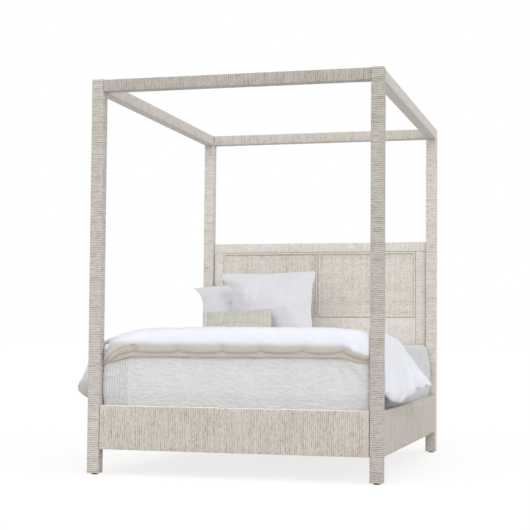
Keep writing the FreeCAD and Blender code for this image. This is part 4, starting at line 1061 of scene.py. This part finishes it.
    round_off = np.ones((total, columns))
    hem_far = np.minimum(lines - lines[0], lines[-1] - lines)
    round_off[rows_lip:] *= gather(hem_far, 0.020)[None]
    round_off[rows_lip:] *= gather(end - y, 0.044)[:, None]
    side_cols = ~tongue
    cover = gather(y - start, 0.020)[:, None]
    outward = np.where(sides < 0, -1, 1) * (np.abs(sides) - TONGUE)
    mixed = step(np.abs(outward), 0.0, 0.35)[None]
    mixed = np.where(side_cols[None], mixed, 0.0)
    round_off[rows_lip:] *= cover * mixed + (1 - mixed)
    lip_far = np.minimum(tx - tx[0], tx[-1] - tx)
    lip_round = gather(lip_far, 0.0015)[None]
    fade = step(fine[1:][::-1], 0.0, 1.2)[:, None]
    round_off[:rows_lip][:, cols] *= lip_round * fade + (1 - fade)
    border = np.zeros((total, columns), bool)
    for shift_r, shift_c in ((1, 0), (-1, 0), (0, 1), (0, -1), (1, 1), (-1, -1), (1, -1), (-1, 1)):
        moved = np.zeros_like(present)
        r0_, r1_ = max(0, shift_r), total + min(0, shift_r)
        c0_, c1_ = max(0, shift_c), columns + min(0, shift_c)
        moved[r0_:r1_, c0_:c1_] = present[r0_ - shift_r:r1_ - shift_r,
                                          c0_ - shift_c:c1_ - shift_c]
        border |= present & ~moved
    round_off[border] = 0.0
    middle = (out_grid + in_grid) / 2
    out_grid = middle + (out_grid - middle) * round_off[..., None]
    in_grid = middle + (in_grid - middle) * round_off[..., None]
    for corner, beside_it in ((cols[0], cols[1]), (cols[-1], cols[-2])):
        out_grid[0, corner] += 0.45 * (middle[1, beside_it] - out_grid[0, corner])
    index_out = np.full((total, columns), -1)
    index_out[present] = np.arange(present.sum())
    index_in = np.full((total, columns), -1)
    only_inner = present & ~border
    index_in[only_inner] = present.sum() + np.arange(only_inner.sum())
    index_in[border] = index_out[border]
    points = np.concatenate([out_grid[present], in_grid[only_inner]])
    ci, cj = grid_corners(total, columns)
    whole = present[ci, cj].all(1)
    ci, cj = ci[whole], cj[whole]
    quads = np.concatenate([index_out[ci, cj], index_in[ci, cj][:, ::-1]])
    map_v = np.concatenate([start - np.interp(fine[1:][::-1], number, reach), y])
    uv = np.stack([s[cj], map_v[ci]], -1)
    uv = np.concatenate([uv, uv[:, ::-1]])
    reverse = np.zeros((total, columns))
    turning, blur = (np.interp(tx, TURNING[:, 0], TURNING[:, k]) for k in (1, 2))
    turned = 0.84 * (1.0 - step(lz[1:][::-1], turning - blur, turning + blur))
    turned = np.where(fine[1:][::-1][:, None] > 2.2, turned, 0.0)
    turned = np.maximum(turned, step(fine[1:][::-1], 9.0, 10.0)[:, None])
    reverse[:rows_lip][:, cols] = turned
    reverse[rows_lip:] = (0.95 * step(-sides, 4.7, 7.0)[None]
                          * (1.0 - step(places, 0.22, 0.55))[:, None])
    lining = 1.0 - step(in_grid[only_inner][:, 2], 0.684, 0.700) * (in_grid[only_inner][:, 1]
                                                                    < start)
    marks = np.concatenate([reverse[present], lining])
    mesh = build_mesh(name, points, quads, uv)
    attribute = mesh.attributes.new("reverse", "FLOAT", "POINT")
    attribute.data.foreach_set("value", marks.astype(np.float32))
    return add_piece(name, mesh, material)


# Pillows

def sewn_case(width, tall, columns, rows):
    """Two flat cloths sewn together round their edge: points (x, y, z) with the z of each cloth
    a low dome, and one border of points for both."""
    u, v = np.meshgrid(np.linspace(-1, 1, columns), np.linspace(-1, 1, rows))
    dome = 0.028 * (1 - u ** 2) * (1 - v ** 2) + 0.001
    rim = (np.abs(u) > 0.999) | (np.abs(v) > 0.999)
    dome = np.where(rim, 0.0, dome)
    front = np.stack([u * width / 2, v * tall / 2, -dome], -1).reshape(-1, 3)
    back = (front * [1, 1, -1])[~rim.ravel()]
    number = np.arange(u.size)
    other = number.copy()
    other[~rim.ravel()] = u.size + np.arange((~rim).sum())
    ci, cj = grid_corners(rows, columns)
    quads = ci * columns + cj
    uv = np.stack([u[ci, cj] * width / 2, v[ci, cj] * tall / 2], -1)
    return (np.concatenate([front, back]), np.concatenate([quads, other[quads][:, ::-1]]),
            np.concatenate([uv, uv[:, ::-1] + 3.0]))


def blow_up(piece, pressure, frames, stiff):
    """Fills a sewn case with Blender's cloth under pressure, without gravity, and returns its
    points afterwards."""
    cloth = piece.modifiers.new("Filling", "CLOTH")
    settings = cloth.settings
    settings.quality = 6
    settings.mass = 0.25
    settings.tension_stiffness = stiff
    settings.compression_stiffness = stiff
    settings.shear_stiffness = stiff / 3
    settings.bending_stiffness = 0.35
    settings.tension_damping = 8.0
    settings.compression_damping = 8.0
    settings.use_pressure = True
    settings.uniform_pressure_force = pressure
    settings.effector_weights.gravity = 0.0
    cloth.collision_settings.use_collision = False
    cloth.point_cache.frame_start, cloth.point_cache.frame_end = 1, frames
    scene = bpy.context.scene
    for number in range(1, frames + 1):
        scene.frame_set(number)
    shown = piece.evaluated_get(bpy.context.evaluated_depsgraph_get())
    points = np.empty(len(shown.data.vertices) * 3)
    shown.data.vertices.foreach_get("co", points)
    piece.modifiers.remove(cloth)
    scene.frame_set(1)
    return points.reshape(-1, 3)


def stuff_pillow(name, low, high, width, tall, thick, lean, front_y, sink, slide, material,
                 seed, square, dents=()):
    """A pillow: a sewn case is blown up, and its outline is let out again, because a filled
    case pulls in less than an airtight one. Its left and right edges draw in by the first two
    shares of square times 1 - v^5, which leaves an ear at each upper corner, and its upper and
    lower edges by the third times 1 - u^4. The fourth narrows its foot, and the fifth makes
    its ears blunt, with their full width from 0.84 of the upper half on. It is brought to its
    size, leant back by its angle round its foot, y' = y cos a + z sin a and
    z' = z cos a - y sin a, pressed flat where it stands on the coverlet, its left corner sinks,
    and its foot slides to the right by slide * (1 - height share). A dent presses its face in by
    depth * exp(-(distance / radius)^2). Leaning it back mirrors the case, so its faces are
    turned over at the end."""
    columns = 62
    rows = int(round(columns * tall / width))
    points, quads, uv = sewn_case(width * 1.06, tall * 1.06, columns, rows)
    flat = points[:, :2] / [width * 0.53, tall * 0.53]
    piece = add_piece(name, build_mesh(name, points, quads, uv), material)
    points = blow_up(piece, pressure=5.0, frames=26, stiff=16.0)
    lowest, highest = points.min(0), points.max(0)
    points = (points - (lowest + highest) / 2) / (highest - lowest)
    aside = square[0] + (square[1] - square[0]) * step(flat[:, 0], -1.0, 1.0)
    ear = np.clip(flat[:, 1], 0.0, 1.0) ** 5
    ear += square[4] * (step(flat[:, 1], 0.56, 0.84) - ear)
    drawn = flat[:, 0] / 2 * (1.0 - aside * (1.0 - ear))
    drawn *= 1.0 - square[3] * (1.0 - flat[:, 1]) / 2
    level = flat[:, 1] / 2 * (1.0 - square[2] * (1.0 - np.abs(flat[:, 0]) ** 4))
    points[:, 0] += (drawn - points[:, 0]) * 0.88
    points[:, 1] += (level - points[:, 1]) * 0.90
    u = points[:, 0] * 2
    points = points * [width, tall, thick]
    slump = (0.010 * ripple(points, 0.22, seed) + 0.004 * ripple(points, 0.08, seed + 1)
             + 0.0022 * ripple(points * [0.45, 1.5, 1.0], 0.042, seed + 2))
    fullness = np.clip(np.abs(points[:, 2]) / (thick / 2), 0.0, 1.0)
    points[:, 2] += np.sign(points[:, 2]) * slump * fullness
    for across, up, radius, depth in dents:
        far = np.hypot(points[:, 0] - across * width / 2, points[:, 1] - (up - 0.5) * tall)
        points[:, 2] += depth * np.exp(-(far / radius) ** 2) * (points[:, 2] < 0)
    points[:, 2] = np.clip(points[:, 2], -thick / 2, thick / 2)
    height = points[:, 1] + tall / 2
    height = height * (1 + sink * u)
    depth = points[:, 2]
    angle = math.radians(lean)
    y = front_y + depth * math.cos(angle) + height * math.sin(angle)
    z = low[2] - 0.004 + height * math.cos(angle) - depth * math.sin(angle)
    pressed = np.maximum(z - low[2], 0.0)
    z = low[2] + np.where(z - low[2] < 0.02, (z - low[2] + 0.02) ** 2 / 0.08, pressed)
    z = np.maximum(z, low[2])
    x = points[:, 0] + (low[0] + high[0]) / 2 + slide * (0.5 - points[:, 1] / tall)
    y = np.minimum(y, high[1])
    points = np.stack([x, y, z], -1)
    mesh = piece.data
    mesh.vertices.foreach_set("co", points.astype(np.float32).ravel())
    mesh.flip_normals()
    mesh.update()
    smooth = piece.modifiers.new("Soft surface", "SUBSURF")
    smooth.levels = smooth.render_levels = 1
    return piece


# Studio

def broad_light(name, way, strength, tint):
    """A light as even as an overcast window: it comes from one side, and its wide angle makes
    every shadow soft."""
    data = bpy.data.lights.new(name, "SUN")
    data.energy, data.color, data.angle = strength, tint, math.radians(70.0)
    light = bpy.data.objects.new(name, data)
    bpy.context.scene.collection.objects.link(light)
    z = np.array(way, float)
    z /= np.linalg.norm(z)
    x = np.cross([0.0, 0.0, 1.0], z)
    x /= np.linalg.norm(x)
    axes = np.stack([x, np.cross(z, x), z], -1)
    light.matrix_world = Matrix.Translation(z * 6.0) @ Matrix(axes.tolist()).to_4x4()


def portrait_camera():
    """The camera of the portrait, from its turn left of +Y, its tilt up and its roll."""
    yaw, pitch, roll = map(math.radians, (15.08, 2.66, 0.47))
    ahead = np.array([-math.sin(yaw) * math.cos(pitch), math.cos(yaw) * math.cos(pitch),
                      math.sin(pitch)])
    right = np.array([math.cos(yaw), math.sin(yaw), 0.0])
    up = np.cross(right, ahead)
    across = right * math.cos(roll) + up * math.sin(roll)
    upright = up * math.cos(roll) - right * math.sin(roll)
    data = bpy.data.cameras.new("portrait_camera")
    data.sensor_width, data.lens = 36.0, 89.015
    data.shift_x, data.shift_y = 0.0048, 0.0254
    data.clip_end = 200.0
    camera = bpy.data.objects.new("portrait_camera", data)
    bpy.context.scene.collection.objects.link(camera)
    axes = Matrix(np.stack([across, upright, -ahead], -1).tolist()).to_4x4()
    camera.matrix_world = Matrix.Translation((1.9959, -7.8461, 0.7521)) @ axes
    bpy.context.scene.camera = camera


def white_surroundings(strength):
    """A pale grey sky that lights the bed, and looks plain white to the camera and in mirrors."""
    world = bpy.data.worlds.new("Surroundings")
    world.use_nodes = True
    tree = world.node_tree
    light_path = tree.nodes.new("ShaderNodeLightPath")
    plain, seen = tree.nodes["Background"], tree.nodes.new("ShaderNodeBackground")
    plain.inputs["Color"].default_value = (0.975, 0.985, 1.0, 1.0)
    plain.inputs["Strength"].default_value = strength
    seen.inputs["Color"].default_value = (1.0, 1.0, 1.0, 1.0)
    seen.inputs["Strength"].default_value = 1.0
    blend = tree.nodes.new("ShaderNodeMixShader")
    either = tree.nodes.new("ShaderNodeMath")
    either.operation = "MAXIMUM"
    tree.links.new(light_path.outputs["Is Camera Ray"], either.inputs[0])
    tree.links.new(light_path.outputs["Is Glossy Ray"], either.inputs[1])
    tree.links.new(either.outputs[0], blend.inputs[0])
    tree.links.new(plain.outputs[0], blend.inputs[1])
    tree.links.new(seen.outputs[0], blend.inputs[2])
    tree.links.new(blend.outputs[0], tree.nodes["World Output"].inputs["Surface"])
    bpy.context.scene.world = world


def white_floor(tint):
    """A wide pale floor that keeps the bed's shadow and looks white to the camera elsewhere."""
    half = 150.0
    points = np.array([[-half, -half, 0.0], [half, -half, 0.0], [half, half, 0.0],
                       [-half, half, 0.0]])
    mesh = bpy.data.meshes.new("studio_floor")
    mesh.from_pydata(points.tolist(), [], [(0, 1, 2, 3)])
    finish = Finish("Floor", roughness=1.0, specular=0.0)
    path = finish.add("LightPath")
    seen = finish.math("MAXIMUM", path.outputs["Is Camera Ray"], path.outputs["Is Glossy Ray"])
    finish.set("Base Color", finish.mix(seen, tint, (0.24, 0.235, 0.23)))
    glow = finish.add("Emission", (1.0, 1.0, 1.0, 1.0), finish.math("MULTIPLY", seen, 0.80))
    both_parts = finish.add("AddShader", finish.shader.outputs[0], glow.outputs[0])
    finish.tree.links.new(both_parts.outputs[0],
                          finish.tree.nodes["Material Output"].inputs["Surface"])
    floor = add_piece("studio_floor", mesh, finish.material)


# Operators: one for each group of pieces

RUNS = {"post": 2, "canopy_rail_foot": 0, "canopy_rail_head": 0, "canopy_rail_left": 1,
        "canopy_rail_right": 1, "footboard": 0, "side_rail": 1, "headboard_top_rail": 0,
        "headboard_stile": 2, "headboard_lower_board": 0}
WALL = 0.005


class CanopyBedOperator:
    """What the operators of this file share"""
    bl_options = {"REGISTER", "UNDO"}

    def wind(self, context, group, finish_name, dusk, gain, speck, bleach, lit_top=None):
        """Winds every member whose node's name starts with a group's name."""
        rope = context.scene.canopy_rope
        material = wound_rope_finish(finish_name, rope, dusk, gain, speck, bleach, lit_top)
        for number, node in enumerate(sorted(NODES)):
            if node.startswith(group) and node.endswith("_rope"):
                run = next(axis for key, axis in RUNS.items() if node.startswith(key))
                piece = wound_sleeve(node.replace("_rope", "_winding"), *box_of(node), run, WALL,
                                     rope, material, 100 + number, top=run == 2 and "post" in node)
                stand_in(piece, node)


class CANOPYBED_OT_wind_posts(CanopyBedOperator, Operator):
    """Wind rope round the four posts and over their tops"""
    bl_idname = "canopybed.wind_posts"
    bl_label = "Wind Posts"

    def execute(self, context):
        # Each member gets its own copy of the rope, made lighter or darker by its gain to match how
        # bright it looks: partly the rope's own tone, partly painted light and shade
        self.wind(context, "post_foot_left", "Rope on the left foot post", 1.2, 0.92, 1.0, 0.3)
        self.wind(context, "post_foot_right", "Rope on the right foot post", 1.3, 0.84, 1.1,
                  0.2)
        self.wind(context, "post_head", "Rope on the head posts", 1.0, 1.12, 0.9, 0.3)
        return {"FINISHED"}


class CANOPYBED_OT_wind_canopy(CanopyBedOperator, Operator):
    """Wind rope round the four canopy rails"""
    bl_idname = "canopybed.wind_canopy"
    bl_label = "Wind Canopy Rails"

    def execute(self, context):
        # The gains here are partly the rope's own tone and partly painted light and shade
        self.wind(context, "canopy_rail_foot", "Rope on the foot rail", 1.1, 0.78, 1.1, -0.2)
        self.wind(context, ("canopy_rail_head", "canopy_rail_left", "canopy_rail_right"),
                  "Rope on the other rails", 0.9, 0.97, 0.8, 0.0)
        return {"FINISHED"}


class CANOPYBED_OT_wind_boards(CanopyBedOperator, Operator):
    """Wind rope round the footboard, the side rails and the headboard's frame"""
    bl_idname = "canopybed.wind_boards"
    bl_label = "Wind Boards"

    def execute(self, context):
        # The footboard's top edge gets a painted highlight
        self.wind(context, "footboard", "Rope on the footboard", 1.15, 0.97, 1.9, -0.3,
                  box_of("footboard_rope")[1][2])
        # The side rails' lower gain is partly painted shade on faces turned from the light, and the
        # headboard's higher gain is partly painted light
        self.wind(context, "side_rail", "Rope on the side rails", 1.3, 0.88, 1.9, -0.2)
        self.wind(context, "headboard", "Rope on the headboard frame", 0.7, 1.20, 0.9, 0.7)
        return {"FINISHED"}


class CANOPYBED_OT_weave_panels(CanopyBedOperator, Operator):
    """Cover the headboard's two panels with rope cloth and lay a wound bead round each"""
    bl_idname = "canopybed.weave_panels"
    bl_label = "Weave Panels"

    def execute(self, context):
        rope = context.scene.canopy_rope
        cloth = woven_rope_finish("Rope cloth on the panels", rope, 0.0092)
        # The beads' higher gain is partly painted light, like the headboard's
        winding = wound_rope_finish("Rope on the beads", rope, 1.0, 1.18, 1.0, -0.1)
        for number, side in enumerate(("left", "right")):
            node = "headboard_panel_" + side
            stand_in(woven_panel("rope_cloth_" + side, *box_of(node), cloth), node)
            node = "headboard_bead_" + side
            stand_in(bead_ring("wound_bead_" + side, *box_of(node), rope, winding,
                               40 + number), node)
        return {"FINISHED"}


class CANOPYBED_OT_finish_support(CanopyBedOperator, Operator):
    """Finish the wood, steel and plastic of the frame under the bedding"""
    bl_idname = "canopybed.finish_support"
    bl_label = "Finish Support"

    def execute(self, context):
        finishes = {
            "core_wood": wood_finish("Core wood", (0.52, 0.36, 0.22), (0.34, 0.21, 0.12)),
            "support_wood": wood_finish("Support wood", (0.66, 0.50, 0.32), (0.50, 0.34, 0.19),
                                        roughness=0.6),
            "stud_steel": metal_finish("Stud steel", (0.55, 0.55, 0.56), 0.32, 1.0,
                                       (30.0, 30.0, 900.0)),
            "bracket_steel": metal_finish("Black steel", (0.035, 0.035, 0.038), 0.45, 0.0,
                                          (900.0, 900.0, 900.0)),
            "glide_plastic": metal_finish("Glide plastic", (0.03, 0.03, 0.03), 0.6, 0.0,
                                          (500.0, 500.0, 500.0)),
        }
        for part in frame["record"]["subparts"]:
            material = finishes.get(part["material_slot"])
            if material is not None:
                for place in NODES[part["node"]].material_slots:
                    place.material = material
        return {"FINISHED"}


class CANOPYBED_OT_lay_mattress(CanopyBedOperator, Operator):
    """Lay the foundation and the mattress on the slats"""
    bl_idname = "canopybed.lay_mattress"
    bl_label = "Lay Mattress"

    def execute(self, context):
        linen = context.scene.canopy_linen
        for node, name, corner, crown, tape in (
                ("foundation", "box_spring", 0.04, 0.002, 0.0022),
                ("mattress", "quilted_mattress", 0.08, 0.005, 0.0035)):
            cloth = cotton_finish(name.replace("_", " ").capitalize() + " cloth", linen.ticking,
                                  crease=0.35, crease_size=30.0, weave=900.0, own=False)
            piece = stuffed_block(name, *box_of(node), corner, crown, tape, cloth)
            stand_in(piece, node)
        return {"FINISHED"}


class CANOPYBED_OT_lay_coverlet(CanopyBedOperator, Operator):
    """Spread the coverlet over the mattress and let it hang behind the boards"""
    bl_idname = "canopybed.lay_coverlet"
    bl_label = "Lay Coverlet"

    def execute(self, context):
        linen = context.scene.canopy_linen
        cloth = cotton_finish("Coverlet cotton", linen.coverlet, crease_way=(0.62, 1.25, 1.0),
                              crease=1.45, crease_size=50.0, crease_shade_and_tone=0.13, ribs=0.0145)
        piece = lay_coverlet("washed_coverlet", *box_of("coverlet"), cloth)
        stand_in(piece, "coverlet")
        return {"FINISHED"}


class CANOPYBED_OT_fold_duvet(CanopyBedOperator, Operator):
    """Fold the duvet and lay it over the foot end and both sides"""
    bl_idname = "canopybed.fold_duvet"
    bl_label = "Fold Duvet"

    def execute(self, context):
        looks = context.scene.canopy_duvet
        cloth = cotton_finish("Duvet cotton", looks.white, crease_way=(1.0, 1.0, 1.0),
                              crease=0.35, crease_size=26.0, crease_shade_and_tone=0.02,
                              paint=looks.reverse, sheen=0.35)
        piece = fold_duvet("folded_duvet", *box_of("duvet"), looks, cloth)
        stand_in(piece, "duvet")
        return {"FINISHED"}


class CANOPYBED_OT_stuff_pillows(CanopyBedOperator, Operator):
    """Stuff the two pillows and the low cushion and lean them against the headboard"""
    bl_idname = "canopybed.stuff_pillows"
    bl_label = "Stuff Pillows"

    def execute(self, context):
        linen = context.scene.canopy_linen
        cotton = cotton_finish("Pillow cotton", linen.pillow, crease_way=(0.35, 1.5, 1.0),
                               crease=0.5, crease_size=45.0, crease_shade_and_tone=0.03)
        heavy = linen_finish("Cushion linen", linen.lumbar)
        creased = ((-0.22, 0.74, 0.034, 0.034), (-0.11, 0.60, 0.026, 0.034))
        for node, name, tall, thick, lean, front_y, sink, slide, material, seed, square in (
                ("back_pillow", "back_pillow_case", 0.500, 0.150, 32.0, 0.729, 0.08, 0.070,
                 cotton, 31, (0.22, 0.24, -0.03, 0.14, 0.0)),
                ("sham_pillow", "sham_pillow_case", 0.518, 0.160, 18.0, 0.621, 0.016, 0.040,
                 cotton, 41, (0.24, 0.06, -0.004, 0.0, 0.95)),
                ("lumbar_cushion", "lumbar_cushion_case", 0.300, 0.110, 41.0, 0.384, 0.045,
                 0.042, heavy, 51, (0.045, -0.035, 0.01, -0.06, 0.0))):
            low, high = box_of(node)
            piece = stuff_pillow(name, low, high, high[0] - low[0], tall, thick, lean, front_y,
                                 sink, slide, material, seed, square,
                                 creased if node == "back_pillow" else ())
            stand_in(piece, node)
        return {"FINISHED"}


class CANOPYBED_OT_set_stage(CanopyBedOperator, Operator):
    """Set the floor, the surroundings, the lights and the camera"""
    bl_idname = "canopybed.set_stage"
    bl_label = "Set Stage"

    def execute(self, context):
        studio = context.scene.canopy_studio
        white_floor(studio.floor)
        white_surroundings(studio.sky)
        broad_light("key_light", (-0.10, -0.78, 0.62), studio.key, (1.0, 0.99, 0.975))
        broad_light("fill_light", (0.80, -0.45, 0.40), studio.fill, (1.0, 0.995, 0.99))
        portrait_camera()
        context.scene.view_settings.view_transform = "Standard"
        return {"FINISHED"}


class CANOPYBED_PT_panel(Panel):
    """Sizes, colours and steps of the canopy bed"""
    bl_idname = "CANOPYBED_PT_panel"
    bl_label = "Canopy Bed"
    bl_space_type = "VIEW_3D"
    bl_region_type = "UI"
    bl_category = "Canopy Bed"

    def draw(self, context):
        """Lists every size and colour, and below them a button for each step."""
        layout = self.layout
        for group in (context.scene.canopy_rope, context.scene.canopy_duvet,
                      context.scene.canopy_linen, context.scene.canopy_studio):
            box = layout.box()
            for name in group.__annotations__:
                box.prop(group, name)
        for operator in OPERATORS:
            layout.operator(operator.bl_idname)


OPERATORS = (CANOPYBED_OT_wind_posts, CANOPYBED_OT_wind_canopy, CANOPYBED_OT_wind_boards,
             CANOPYBED_OT_weave_panels, CANOPYBED_OT_finish_support, CANOPYBED_OT_lay_mattress,
             CANOPYBED_OT_lay_coverlet, CANOPYBED_OT_fold_duvet, CANOPYBED_OT_stuff_pillows,
             CANOPYBED_OT_set_stage)
GROUPS = (("canopy_rope", CANOPYBED_PG_rope), ("canopy_duvet", CANOPYBED_PG_duvet),
          ("canopy_linen", CANOPYBED_PG_linen), ("canopy_studio", CANOPYBED_PG_studio))


def register():
    """Registers the groups of sizes and colours, the operators and the panel."""
    for name, group in GROUPS:
        bpy.utils.register_class(group)
        setattr(bpy.types.Scene, name, PointerProperty(type=group))
    for operator in OPERATORS:
        bpy.utils.register_class(operator)
    bpy.utils.register_class(CANOPYBED_PT_panel)


def unregister():
    """Takes the panel, the operators and the groups out again."""
    bpy.utils.unregister_class(CANOPYBED_PT_panel)
    for operator in reversed(OPERATORS):
        bpy.utils.unregister_class(operator)
    for name, group in reversed(GROUPS):
        delattr(bpy.types.Scene, name)
        bpy.utils.unregister_class(group)


def main():
    """Makes the bed piece by piece."""
    register()
    bpy.ops.canopybed.wind_posts()
    bpy.ops.canopybed.wind_canopy()
    bpy.ops.canopybed.wind_boards()
    bpy.ops.canopybed.weave_panels()
    bpy.ops.canopybed.finish_support()
    bpy.ops.canopybed.lay_mattress()
    bpy.ops.canopybed.lay_coverlet()
    bpy.ops.canopybed.fold_duvet()
    bpy.ops.canopybed.stuff_pillows()
    bpy.ops.canopybed.set_stage()


if __name__ == "__main__":
    main()
